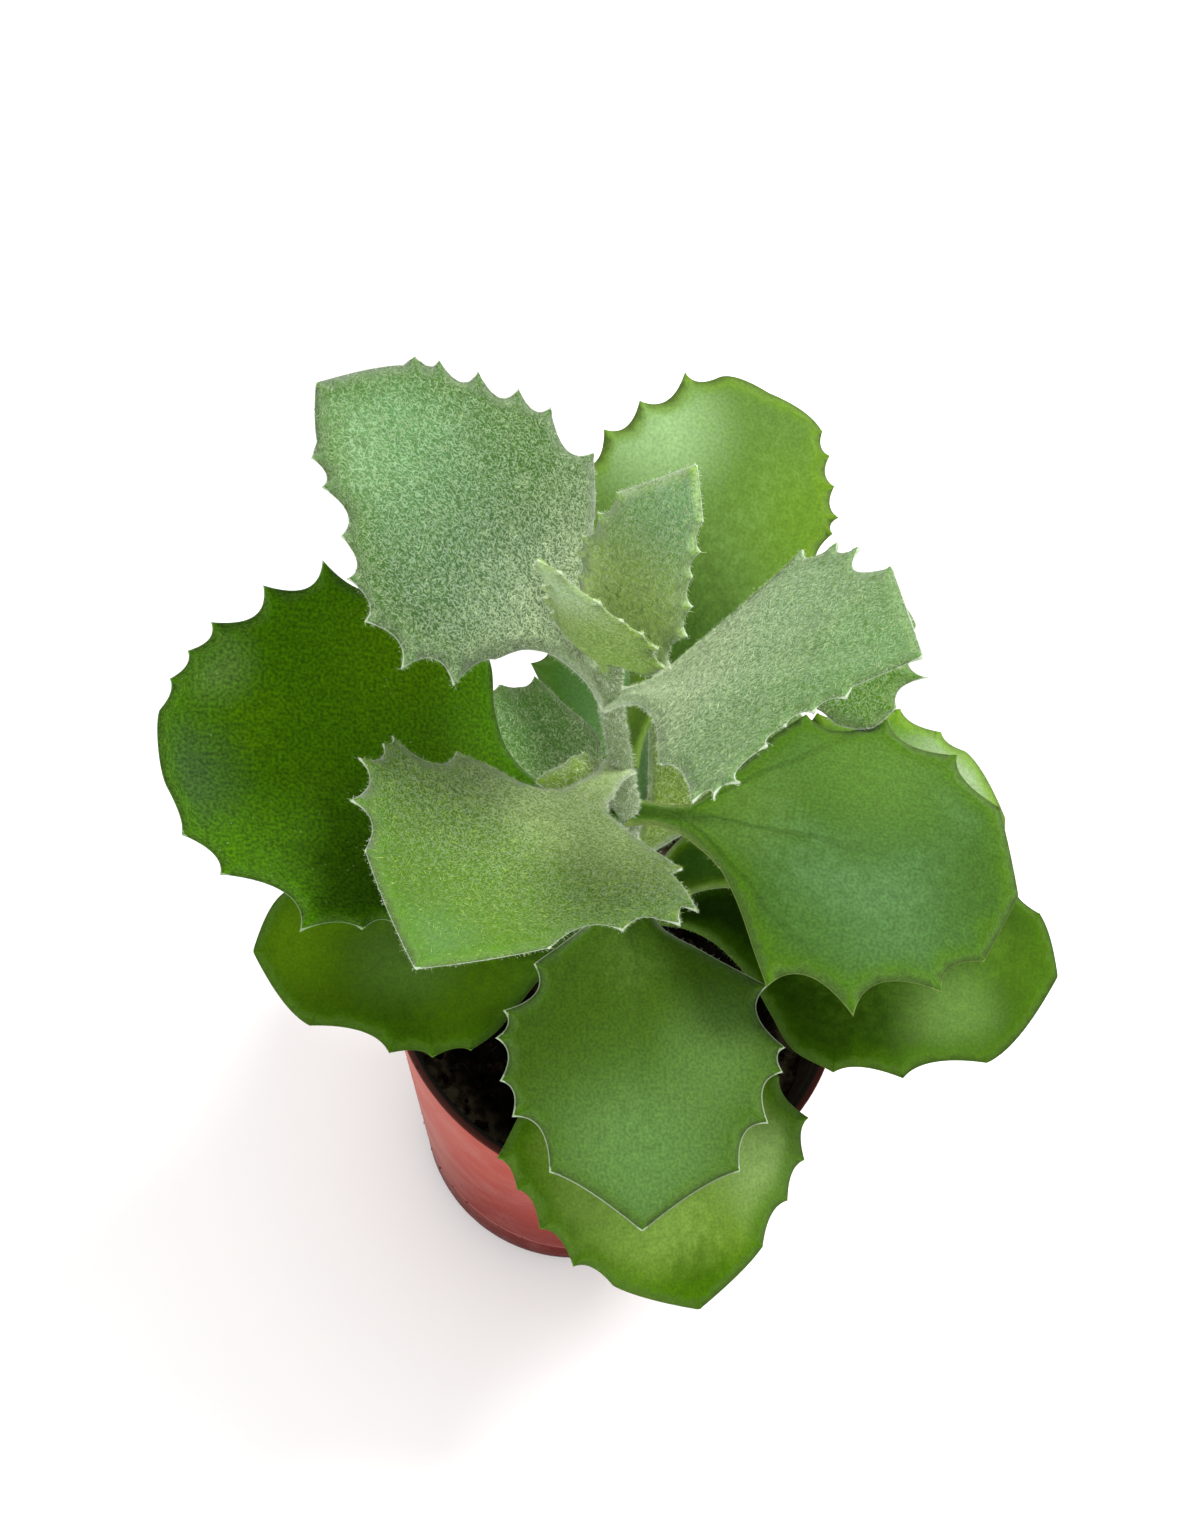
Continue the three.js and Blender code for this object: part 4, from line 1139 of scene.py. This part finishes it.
def addLeaf(leaf, seed):
    # the leaf's skin, the felt on both faces and the fringe along the margin
    look = {**commonLook, **leafLooks[leaf["name"]]}
    tail = leaf["name"][4:]
    points, faces, values, topFaces = leafSkin(leaf, seed)
    mesh = meshFrom(leaf["name"] + "_blade", points, faces, values)
    material = leafMaterial("leafSkin" + tail, look, leaf)
    felted = look["felt"] > leafFinish["feltedFrom"]
    addPiece(leaf["name"] + "_blade", mesh, material, leaf["name"])
    hairCount = 0
    if felted:
        parts = []
        ageing = blendTo(*leafFinish["thinning"], values["place"][:, 0] / leaf["length"])
        cover = 1 - (1 - look["tipFelt"]) * ageing
        for triangles, density in ((topFaces, hairLook["topDensity"]),
                                   (faces[len(topFaces):], hairLook["underDensity"])):
            density = density * (0.5 + 0.5 * look["felt"])
            spots, facing = scatterOn(points, triangles, density, cover)
            ways = liePast(facing, spots, seed, hairLook["lean"])
            lengths = dice.uniform(*hairLook["length"], len(spots))
            widths = dice.uniform(*hairLook["width"], len(spots))
            parts.append(makeSpikes(spots - facing * 0.02, ways, lengths, widths))
        shift = len(parts[0][0])
        mesh = meshFrom(leaf["name"] + "_felt", np.vstack([parts[0][0], parts[1][0]]),
                        np.vstack([parts[0][1], parts[1][1] + shift]))
        felt = hairMaterial("feltHair" + tail, *look["hair"], look["paler"])
        addPiece(leaf["name"] + "_felt", mesh, felt, None, smooth=False)
        hairCount += len(mesh.polygons)
    perMm = hairLook["marginPerMm"] if felted else hairLook["barePerMm"]
    share = 1.0 if felted else hairLook["bareShare"]
    spikes = makeSpikes(*marginHairs(leaf, points, faces, values, perMm, share))
    mesh = meshFrom(leaf["name"] + "_fringe", *spikes)
    fringe = hairMaterial("fringe" + tail, hairLook["marginColour"], look["line"])
    addPiece(leaf["name"] + "_fringe", mesh, fringe, None, smooth=False)
    return len(faces), hairCount + len(mesh.polygons)


total = 0
for seed, leaf in enumerate(leaves):
    skinFaces, hairFaces = addLeaf(leaf, seed + 1)
    total += skinFaces + hairFaces
    print("leaf made:", leaf["name"], skinFaces, "skin and", hairFaces, "hair triangles")
print("all leaves made:", total, "triangles")

stemLook = {
    "bottomRadius": 2.1,
    "topRadius": 1.12,
    "tipRadius": 0.8,
    "swelling": 0.34,
    "swellingSpan": 1.6,
    "sides": 28,
    "step": 0.45,
    "lowEnd": 40.0,  # where the visible stem is cut off inside the peat
    "hairFrom": 43.0,
    "ridgeDepth": 0.03,
    "lumps": ((0.05, 1.3, 3), (0.02, 0.6, 4)),  # height, width and seed
    "dome": 0.7,
    "colours": ("#4a682c", "#688446"),
    "streakColour": "#ccd8b4",
    "streakStrength": 0.4,
    # name, density, lean and the darkest and palest colour
    "hairs": (("stem_hairs", 12.0, 0.35, "#647e3e", "#a8ba84"),
              ("stem_fuzz", 16.0, 1.6, "#a2b682", "#eef3e6")),
    "hairLength": (0.3, 0.7),
    "hairWidth": (0.012, 0.026),
}


def stemRadius(height):
    # thinner towards the tip, with a swelling just under each pair of leaves
    low, high = stemNodes["collar"][2], stemNodes["young"][2]
    share = np.clip((height - low) / (high - low), 0, 1)
    radius = stemLook["bottomRadius"] * (1 - share) + stemLook["topRadius"] * share
    for name in list(stemNodes)[2:-1]:
        away = (height - stemNodes[name][2] + 1) / stemLook["swellingSpan"]
        radius = radius + stemLook["swelling"] * (1 - 0.6 * share) * np.exp(-away * away)
    taper = np.clip((height - stemNodes["growingTip"][2] + 2) / 2, 0, 1) ** 2
    return radius * (1 - taper) + stemLook["tipRadius"] * taper


def addStem():
    stem = stemLook
    spine = smoothLine(list(stemNodes.values()), stem["step"])
    spine = spine[spine[:, 2] > stem["lowEnd"]]
    ahead = unit(np.gradient(spine, axis=0))
    sideways = unit(np.cross([[0, 1.0, 0]], ahead))
    across = np.cross(ahead, sideways)
    radius = stemRadius(spine[:, 2])
    rows, sides = len(spine), stem["sides"]
    angle = circleAngles(sides)
    around = (sideways[:, None] * np.cos(angle)[None, :, None]
              + across[:, None] * np.sin(angle)[None, :, None])
    ridges = 1 + stem["ridgeDepth"] * np.cos(4 * angle)[None, :]
    points = spine[:, None] + around * radius[:, None, None] * ridges[:, :, None]
    points = points.reshape(-1, 3)
    lumps = sum(height * softNoise(points, width, seed) for height, width, seed in stem["lumps"])
    points = points + around.reshape(-1, 3) * lumps[:, None]
    points = np.vstack([points, spine[-1] + ahead[-1] * stem["dome"], spine[0]])
    faces = bandFaces(rows, sides)
    topRow = (rows - 1) * sides
    for k in range(sides):
        faces.append((topRow + k, topRow + (k + 1) % sides, len(points) - 2))
        faces.append(((k + 1) % sides, k, len(points) - 1))
    faces = np.array(faces)
    mesh = meshFrom("stem_skin", points, faces)

    material, tree, shader = newMaterial("stemSkin", 0.9, 0.1)
    scaled = spotInMm(tree)
    streaks = fillGroup(tree, feltStreaks, {"Place": scaled, "Size": 0.15, "Cover": 0.8})["Hairs"]
    cloud = noiseAt(tree, scaled, 0.3, 3.0)
    colour = mixColour(tree, cloud, *(hexColour(text) for text in stem["colours"]))
    colour = mixColour(tree, times(tree, streaks, stem["streakStrength"]), colour,
                       hexColour(stem["streakColour"]))
    finishShader(tree, shader, colour, streaks, 0.04)
    shader.inputs["Sheen Weight"].default_value = 0.2
    addPiece("stem_skin", mesh, material, "stem")

    above = faces[points[faces[:, 0], 2] > stem["hairFrom"]]
    for name, density, lean, low, high in stem["hairs"]:
        spots, facing = scatterOn(points, above, density)
        ways = liePast(facing, spots, 9, lean)
        lengths = dice.uniform(*stem["hairLength"], len(spots))
        widths = dice.uniform(*stem["hairWidth"], len(spots))
        mesh = meshFrom(name, *makeSpikes(spots - facing * 0.03, ways, lengths, widths))
        hairs = hairMaterial(name + "Colour", low, high)
        addPiece(name, mesh, hairs, None, smooth=False)


addStem()
print("stem made")


potShape = {
    "height": 53.0,
    "rimRadius": 30.0,
    "footRadius": 21.2,
    "footHeight": 3.6,
    "footStep": 0.6,
    "ledgeHeight": 8.5,  # below it the wall steps in a little
    "ledgeStep": 0.6,
    "wall": 1.1,
    "rimLip": 0.35,
    "rimLipHeight": 2.4,
    "floor": 1.6,
    "sides": 180,
    "drainHoles": 5,
    "drainRadius": 2.6,
    "drainCircle": 13.5,
    "drainSides": 32,
    # small roundings, each point (outward, upward) from the edge that it rounds
    "footRounding": ((-0.7, 0), (-0.25, 0.06), (-0.05, 0.3), (0, 0.8)),
    "stepRounding": ((0.06, -0.72), (0.2, -0.5)),
    "ledgeRounding": ((-0.16, -0.3), (-0.02, 0)),
    "rimRounding": ((-0.02, -0.28), (-0.12, -0.1), (-0.32, 0)),
    "innerRounding": ((0.32, 0), (0.1, -0.1), (0, -0.3)),
    "lipRounding": ((-0.25, -0.1), (-0.06, -0.45)),
}


def wallRadius(height):
    # the outer radius of the straight, flared wall
    pot = potShape
    foot = pot["footRadius"] + pot["footStep"]
    share = (height - pot["footHeight"]) / (pot["height"] - pot["footHeight"])
    return foot + share * (pot["rimRadius"] - foot)


def potProfile():
    # from the underside's edge up the outside, over the rim and down the inside to the floor
    pot = potShape
    top, ledge, foot, wall = pot["height"], pot["ledgeHeight"], pot["footRadius"], pot["wall"]
    lip = top - pot["rimLipHeight"]
    lipDepth = wall + pot["rimLip"]
    under = wallRadius(ledge) - pot["ledgeStep"]

    def roundEdge(radius, height, key):
        return [(radius + out, height + up) for out, up in pot[key]]

    def wallLine(depth, first, last, rows):
        return [(wallRadius(h) - depth, h) for h in np.linspace(first, last, rows)]

    line = roundEdge(foot, 0, "footRounding")
    low = line[-1][1]
    line += [(foot + (under - foot) * math.sqrt(share), low + share * (ledge - 1 - low))
             for share in np.linspace(0.05, 1, 14)]
    line += roundEdge(under, ledge, "stepRounding")
    line += roundEdge(wallRadius(ledge), ledge, "ledgeRounding")
    line += wallLine(0, ledge + 0.5, top - 0.5, 60)
    line += roundEdge(wallRadius(top), top, "rimRounding")
    line += roundEdge(wallRadius(top) - lipDepth, top, "innerRounding")
    line += wallLine(lipDepth, top - 0.8, lip + 0.2, 4)
    line += roundEdge(wallRadius(lip) - wall, lip, "lipRounding")
    line += wallLine(wall, lip - 1, 40, 12)
    line += wallLine(wall, 36, pot["floor"], 12)
    return np.array(line)


def drainCentres():
    return circlePoints(0, 0, potShape["drainCircle"], potShape["drainHoles"])


def plateWithHoles(radius, height, upward):
    # one face of the pot's floor
    pot = potShape
    circles = [(0, 0, radius, pot["sides"])]
    circles += [(x, y, pot["drainRadius"], pot["drainSides"]) for x, y in drainCentres()]
    points, edges = [], []
    for x, y, reach, sides in circles:
        first = len(points)
        points += circlePoints(x, y, reach, sides)
        edges += [(first + k, first + (k + 1) % sides) for k in range(sides)]
    flat, triangles = fillOutline(points, edges, [], 0)
    middle = flat[triangles].mean(1)
    for centre in drainCentres():
        kept = np.linalg.norm(middle - centre, axis=1) > pot["drainRadius"] * 0.97
        triangles, middle = triangles[kept], middle[kept]
    wrong = (turnOf(flat, triangles) > 0) != upward
    triangles[wrong] = triangles[wrong][:, ::-1]
    return np.column_stack([flat, np.full(len(flat), height)]), triangles


def potMesh():
    pot = potShape
    sides, holeSides = pot["sides"], pot["drainSides"]
    profile = potProfile()
    angle = circleAngles(sides)
    ring = np.stack([np.cos(angle), np.sin(angle)], axis=1)
    wall = np.vstack([np.column_stack([ring * r, np.full(sides, h)]) for r, h in profile])
    under, underFaces = plateWithHoles(profile[0][0], 0.0, False)
    floor, floorFaces = plateWithHoles(profile[-1][0], pot["floor"], True)
    allPoints = [wall, under, floor]
    allFaces = [np.array(bandFaces(len(profile), sides)), underFaces + len(wall),
                floorFaces + len(wall) + len(under)]
    for x, y in drainCentres():
        first = sum(len(part) for part in allPoints)
        ring = circlePoints(x, y, pot["drainRadius"], holeSides)
        allPoints += [np.column_stack([ring, np.full(holeSides, h)]) for h in (0, pot["floor"])]
        allFaces.append(np.array(bandFaces(2, holeSides, first, inward=True)))
    mesh = meshFrom("pot_shell", np.vstack(allPoints), np.vstack(allFaces))
    # joins wall, plates and holes into one closed shell
    edit = bmesh.new()
    edit.from_mesh(mesh)
    bmesh.ops.remove_doubles(edit, verts=edit.verts, dist=1e-7)
    edit.to_mesh(mesh)
    edit.free()
    return mesh


potLook = {
    # painted shade: the wall is painted darker lower down, and the foot band darker still towards
    # the ground
    "low": "#6c140a",  # the wall just above the ledge
    "high": "#963a2e",
    "haze": "#aa5046",
    "foot": "#400403",
    # the painted sheen on one side of the wall, and on the foot there
    "paintedSheen": "#be8a80",
    "paintedSheenFoot": "#480c08",
    # the painted highlight along the ledge
    "ledgeHighlight": "#b06a5e",
    "dust": "#b07468",
    "speck": "#4a1f18",
    "inside": "#2e2420",
    "rim": "#161716",
    "hazeStrength": 0.4,
    "footShadeStrength": (0.9, 0.35),  # at the ground and at the ledge
    "paintedSheenStrength": 0.45,
    "lineStrength": 0.35,
    "dustStrength": 0.12,
    "speckStrength": 0.55,
    "rimStrength": 0.85,
    "roughness": (0.42, 0.6),
    "relief": 0.12,
    "sheen": 0.02,
    "sheenRoughness": 0.4,
}


def potMaterial():
    look = potLook
    material, tree, shader = newMaterial("potPlastic", 0.5, 0.03)
    scaled = spotInMm(tree)
    parts = addNode(tree, "ShaderNodeSeparateXYZ", {0: scaled}).outputs
    up = parts[2]
    radius = awayFrom(tree, scaled, 0, 0)

    def tint(colour, share, key):
        return mixColour(tree, share, colour, hexColour(look[key]))

    # how far inside the outer wall a point lies
    foot, top, ledge = potShape["footHeight"], potShape["height"], potShape["ledgeHeight"]
    flare = (wallRadius(top) - wallRadius(foot)) / (top - foot)
    wallHere = maths(tree, "MULTIPLY_ADD", up, flare, wallRadius(foot) - foot * flare)
    depth = maths(tree, "SUBTRACT", wallHere, radius)
    insideMask = ease(tree, depth, 0.7, 0.95)
    rimMask = ease(tree, up, top - 0.5, top - 0.1)
    # painted shade: the foot band darkens towards the ground, the wall towards the ledge
    footShadeMask = times(tree, ease(tree, up, 0.0, ledge - 0.2, *look["footShadeStrength"]),
                     ease(tree, up, ledge - 0.6, ledge, 1.0, 0.0))
    high = ease(tree, up, ledge, top - 3)
    cloud = noiseAt(tree, scaled, 0.07, 4.0)
    colour = mixColour(tree, high, hexColour(look["low"]), hexColour(look["high"]))
    haze = ease(tree, cloud, 0.4, 0.7, 0.0, look["hazeStrength"])
    colour = tint(colour, times(tree, haze, high), "haze")
    colour = tint(colour, footShadeMask, "foot")
    # painted sheen: one side of the wall is painted paler, as a grazing sheen of light on it
    sheenward = maths(tree, "MULTIPLY_ADD", cloud, 0.7, maths(tree, "DIVIDE", parts[0], radius))
    paintedSheenMask = ease(tree, sheenward, -0.72, 0.1, look["paintedSheenStrength"], 0.0)
    paintedSheen = mixColour(tree, footShadeMask, hexColour(look["paintedSheen"]), hexColour(look["paintedSheenFoot"]))
    colour = mixColour(tree, paintedSheenMask, colour, paintedSheen)
    # painted highlight: a paler line along the top of the ledge
    ledgeHighlight = times(tree, ease(tree, up, ledge - 0.5, ledge - 0.1),
                      ease(tree, up, ledge + 0.1, ledge + 1.2, 1.0, 0.0))
    colour = tint(colour, times(tree, ledgeHighlight, look["lineStrength"]), "ledgeHighlight")
    dust = ease(tree, noiseAt(tree, scaled, 0.3, 5.0), 0.4, 0.75)
    colour = tint(colour, times(tree, dust, look["dustStrength"]), "dust")
    dots = fillGroup(tree, specks, {
        "Place": scaled, "Scale": 0.45, "Share": 0.28, "Radius": 0.12})["Specks"]
    colour = tint(colour, times(tree, dots, look["speckStrength"]), "speck")
    colour = tint(colour, insideMask, "inside")
    colour = tint(colour, times(tree, rimMask, look["rimStrength"]), "rim")
    finishShader(tree, shader, colour, noiseAt(tree, scaled, 1.3, 5.0), look["relief"])
    rough = ease(tree, cloud, 0.3, 0.7, *look["roughness"])
    tree.links.new(rough, shader.inputs["Roughness"])
    # a film of fine dust that shows where the wall turns away
    shader.inputs["Sheen Weight"].default_value = look["sheen"]
    shader.inputs["Sheen Roughness"].default_value = look["sheenRoughness"]
    return material


def lumpTemplate(divisions):
    edit = bmesh.new()
    bmesh.ops.create_icosphere(edit, subdivisions=divisions, radius=1.0)
    edit.verts.ensure_lookup_table()
    points = np.array([tuple(v.co) for v in edit.verts])
    faces = np.array([[v.index for v in f.verts] for f in edit.faces])
    edit.free()
    return points, faces


def scatterLumps(name, spots, sizes, flatness, divisions):
    # uneven crumbs, each turned and squeezed its own way
    ball, ballFaces = lumpTemplate(divisions)
    allPoints, allFaces = [], []
    for k, (spot, size) in enumerate(zip(spots, sizes)):
        turn = np.linalg.qr(dice.normal(size=(3, 3)))[0]
        squeeze = np.array([1, dice.uniform(0.5, 0.95), dice.uniform(*flatness)])
        bumps = 1 + 0.3 * softNoise(ball, 0.7, k % 60)
        lump = (ball * bumps[:, None] * squeeze) @ turn.T * size + spot
        allPoints.append(lump)
        allFaces.append(ballFaces + k * len(ball))
    return meshFrom(name, np.vstack(allPoints), np.vstack(allFaces))


def peatMaterial(name, dark, light, bed=None):
    # bed holds a ring of painted light on the peat near the wall and the film where it stays damp
    material, tree, shader = newMaterial(name, 0.95, 0.05)
    spot = surfaceSpot(tree)
    cloud = noiseAt(tree, spot, 700.0, 4.0)
    colour = mixColour(tree, ease(tree, cloud, 0.35, 0.7), hexColour(dark), hexColour(light))
    if bed:
        # painted light: the peat is painted paler in a ring near the wall
        near, far = (mm * part for part in bed["litRingReach"])
        ring = times(tree, ease(tree, awayFrom(tree, spot, 0, 0), near, far),
                     ease(tree, cloud, 0.4, 0.6, 0.25, 1.0))
        colour = mixColour(tree, ring, colour, hexColour(bed["litRingColour"]))
        x, y = (mm * part for part in bed["dampSpot"])
        near, far = (mm * part for part in bed["dampReach"])
        away = awayFrom(tree, spot, x, y)
        away = maths(tree, "MULTIPLY_ADD", cloud, bed["dampWaver"] * mm, away)
        damp = ease(tree, away, near, far, bed["dampStrength"], 0.0)
        colour = mixColour(tree, damp, colour, hexColour(bed["dampColour"]))
    finishShader(tree, shader, colour, cloud, 0.3)
    return material


addPiece("pot_shell", potMesh(), potMaterial(), "pot")

# Most specks of dirt lie along the ledge, the rest anywhere on the wall.
dirtLook = {
    "count": 150,
    "ledgeShare": 0.65,
    "ledgeSize": (0.1, 0.36),
    "wallSize": (0.06, 0.16),
    "wallHeight": (9, 50),
    "flatness": (0.4, 0.8),
    "colours": ("#3a1c15", "#6b4034"),
}


def addPotDirt():
    count, ledge = dirtLook["count"], potShape["ledgeHeight"]
    angle = dice.uniform(0, 2 * math.pi, count)
    low = dice.random(count) < dirtLook["ledgeShare"]
    height = np.where(low, dice.normal(ledge - 0.3, 0.6, count),
                      dice.uniform(*dirtLook["wallHeight"], count))
    height = np.clip(height, 1.0, 51)
    spots = np.stack([wallRadius(height) * np.cos(angle), wallRadius(height) * np.sin(angle),
                      height], axis=1)
    sizes = np.where(low, dice.uniform(*dirtLook["ledgeSize"], count),
                     dice.uniform(*dirtLook["wallSize"], count))
    # the wall stands further in under the ledge
    spots[:, :2] *= np.where(height < ledge - 0.2, 1 - 0.4 / wallRadius(height), 1)[:, None]
    mesh = scatterLumps("pot_dirt", spots, sizes, dirtLook["flatness"], 1)
    addPiece("pot_dirt", mesh, peatMaterial("driedDirt", *dirtLook["colours"]), None)


addPotDirt()
print("pot made")

peatShape = {
    "surface": 43.0,
    "roughness": 0.9,
    "step": 0.7,
    "sides": 150,
    "wallGap": 0.05,
    "bedColours": ("#040302", "#150f0a"),
    "bed": {
        "litRingReach": (21.5, 25.0),
        "litRingColour": "#5c4c42",
        "dampSpot": (12.0, -6.0),
        "dampReach": (7.0, 18.0),
        "dampWaver": 8.0,
        "dampStrength": 0.8,
        "dampColour": "#1c3408",
    },
    "crumbs": 620,
    "crumbSize": (0.25, 1.1),
    "crumbFlatness": (0.5, 0.9),
    "crumbColours": ("#0a0604", "#2a1d14"),
    "fibres": 160,
    "fibreLength": (1, 3.4),
    "fibreWidth": (0.04, 0.09),
    "fibreRise": (0.02, 0.5),
    "fibreColours": ("#1d120a", "#4a3422"),
}


def peatHeight(x, y):
    # slow swells with two sizes of lumps on them
    broad = np.sin(x * 0.31 + 0.7) * np.cos(y * 0.27 - 0.4)
    fine = np.sin(x * 0.93 - y * 0.71) * np.sin(y * 0.83 + x * 0.39 + 1.3)
    spot = np.stack([x, y, np.zeros(len(x))], axis=1)
    small = 0.5 * softNoise(spot, 1.8, 6) + 0.28 * softNoise(spot, 0.8, 7)
    return peatShape["surface"] + peatShape["roughness"] * (0.6 * broad + 0.5 * fine) + small


def peatEdge():
    return wallRadius(peatShape["surface"]) - potShape["wall"] - peatShape["wallGap"]


def addPeatBed():
    peat = peatShape
    sides, edge = peat["sides"], peatEdge()
    rings = int(edge / peat["step"])
    points = [(0, 0)]
    for ring in range(1, rings + 1):
        points += circlePoints(0, 0, edge * ring / rings, sides)
    flat = np.array(points)
    top = np.column_stack([flat, peatHeight(flat[:, 0], flat[:, 1])])
    # one more ring and its middle close the filling underneath
    low = potShape["floor"] + 0.3
    lowRadius = wallRadius(low) - potShape["wall"] - 0.3
    skirt = np.column_stack([circlePoints(0, 0, lowRadius, sides), np.full(sides, low)])
    faces = [(0, 1 + k, 1 + (k + 1) % sides) for k in range(sides)]
    faces += bandFaces(rings + 1, sides, 1, inward=True)
    count = len(top)
    faces += [(count + k, count + sides, count + (k + 1) % sides) for k in range(sides)]
    mesh = meshFrom("peat_bed", np.vstack([top, skirt, [[0, 0, low]]]), np.array(faces))
    material = peatMaterial("peatMix", *peat["bedColours"], peat["bed"])
    addPiece("peat_bed", mesh, material, "soil")


def peatSpots(count, share):
    # random spots on the peat, out to that share of its radius
    radius = peatEdge() * np.sqrt(dice.random(count)) * share
    turn = dice.uniform(0, 2 * math.pi, count)
    x, y = radius * np.cos(turn), radius * np.sin(turn)
    return np.stack([x, y, peatHeight(x, y)], axis=1)


def addCrumbs():
    peat, count = peatShape, peatShape["crumbs"]
    smallest, largest = peat["crumbSize"]
    spots = peatSpots(count, 0.97)
    sizes = smallest + dice.random(count) ** 2.5 * (largest - smallest)  # mostly small ones
    spots[:, 2] += 0.3 * sizes
    mesh = scatterLumps("peat_crumbs", spots, sizes, peat["crumbFlatness"], 2)
    addPiece("peat_crumbs", mesh, peatMaterial("peatCrumb", *peat["crumbColours"]), None)


def addFibres():
    peat, count = peatShape, peatShape["fibres"]
    roots = peatSpots(count, 0.9)
    ways = np.stack([dice.normal(size=count), dice.normal(size=count),
                     dice.uniform(*peat["fibreRise"], count)], axis=1)
    lengths = dice.uniform(*peat["fibreLength"], count)
    widths = dice.uniform(*peat["fibreWidth"], count)
    mesh = meshFrom("peat_fibres", *makeSpikes(roots, ways, lengths, widths))
    material = peatMaterial("peatFibre", *peat["fibreColours"])
    addPiece("peat_fibres", mesh, material, None, smooth=False)


mossLook = {
    "tufts": 110,
    "stalks": 34,
    "spot": (9.0, -5.0),
    "spread": (7.0, 6.0),
    "tuftSpread": 0.55,
    "reach": 25.0,
    "lean": 0.5,
    "length": (0.5, 1.5),
    "width": (0.05, 0.1),
    "colours": ("#1e3a08", "#4f7220"),
}


def addMoss():
    # small tufts of moss in the damp middle of the peat
    moss, tufts = mossLook, mossLook["tufts"]
    centres = np.array(moss["spot"]) + dice.normal(0, moss["spread"], (tufts, 2))
    flat = np.repeat(centres, moss["stalks"], axis=0)
    flat = flat + dice.normal(0, moss["tuftSpread"], (tufts * moss["stalks"], 2))
    flat = flat[np.linalg.norm(flat, axis=1) < moss["reach"]]
    roots = np.column_stack([flat, peatHeight(flat[:, 0], flat[:, 1]) - 0.1])
    ways = np.column_stack([dice.normal(0, moss["lean"], (len(flat), 2)), np.ones(len(flat))])
    lengths = dice.uniform(*moss["length"], len(flat))
    widths = dice.uniform(*moss["width"], len(flat))
    mesh = meshFrom("peat_moss", *makeSpikes(roots, ways, lengths, widths))
    material = hairMaterial("mossGreen", *moss["colours"])
    addPiece("peat_moss", mesh, material, None, smooth=False)


addPeatBed()
addCrumbs()
addFibres()
addMoss()
print("peat made")

# The floor and the lamps, in metres.
studio = {
    "floorHalf": 30.0,
    "floorShade": 0.96,
    "skyStrength": 0.95,
    "lamps": [
        {"name": "keyLamp", "spot": (0.28, 0.26, 0.72), "aim": (0, 0, 0.06),
         "size": 0.3, "power": 5.8},
        {"name": "fillLamp", "spot": (-0.3, -0.55, 0.42), "aim": (0, 0, 0.09),
         "size": 0.45, "power": 1.9},
    ],
}


def addStage():
    mesh = bpy.data.meshes.new("studioFloor")
    half, shade = studio["floorHalf"], studio["floorShade"]
    corners = [(-half, -half, 0), (half, -half, 0), (half, half, 0), (-half, half, 0)]
    mesh.from_pydata(corners, [], [(0, 1, 2, 3)])
    floor = bpy.data.objects.new("studioFloor", mesh)
    scene.collection.objects.link(floor)
    material, tree, shader = newMaterial("paleFloor", 0.9, 0.1)
    shader.inputs["Base Color"].default_value = (shade, shade, shade, 1)
    mesh.materials.append(material)
    world = bpy.data.worlds.new("studioWorld")
    world.use_nodes = True
    sky = world.node_tree.nodes["Background"]
    sky.inputs["Color"].default_value = (1, 1, 1, 1)
    sky.inputs["Strength"].default_value = studio["skyStrength"]
    scene.world = world


def addLamp(name, spot, aim, size, power):
    light = bpy.data.lights.new(name, "AREA")
    light.shape = "DISK"
    light.size = size
    light.energy = power
    lamp = bpy.data.objects.new(name, light)
    way = Vector(aim) - Vector(spot)
    lamp.matrix_world = Matrix.Translation(spot) @ way.to_track_quat("-Z", "Y").to_matrix().to_4x4()
    scene.collection.objects.link(lamp)


addStage()
for lamp in studio["lamps"]:
    addLamp(**lamp)
print("floor and light set")
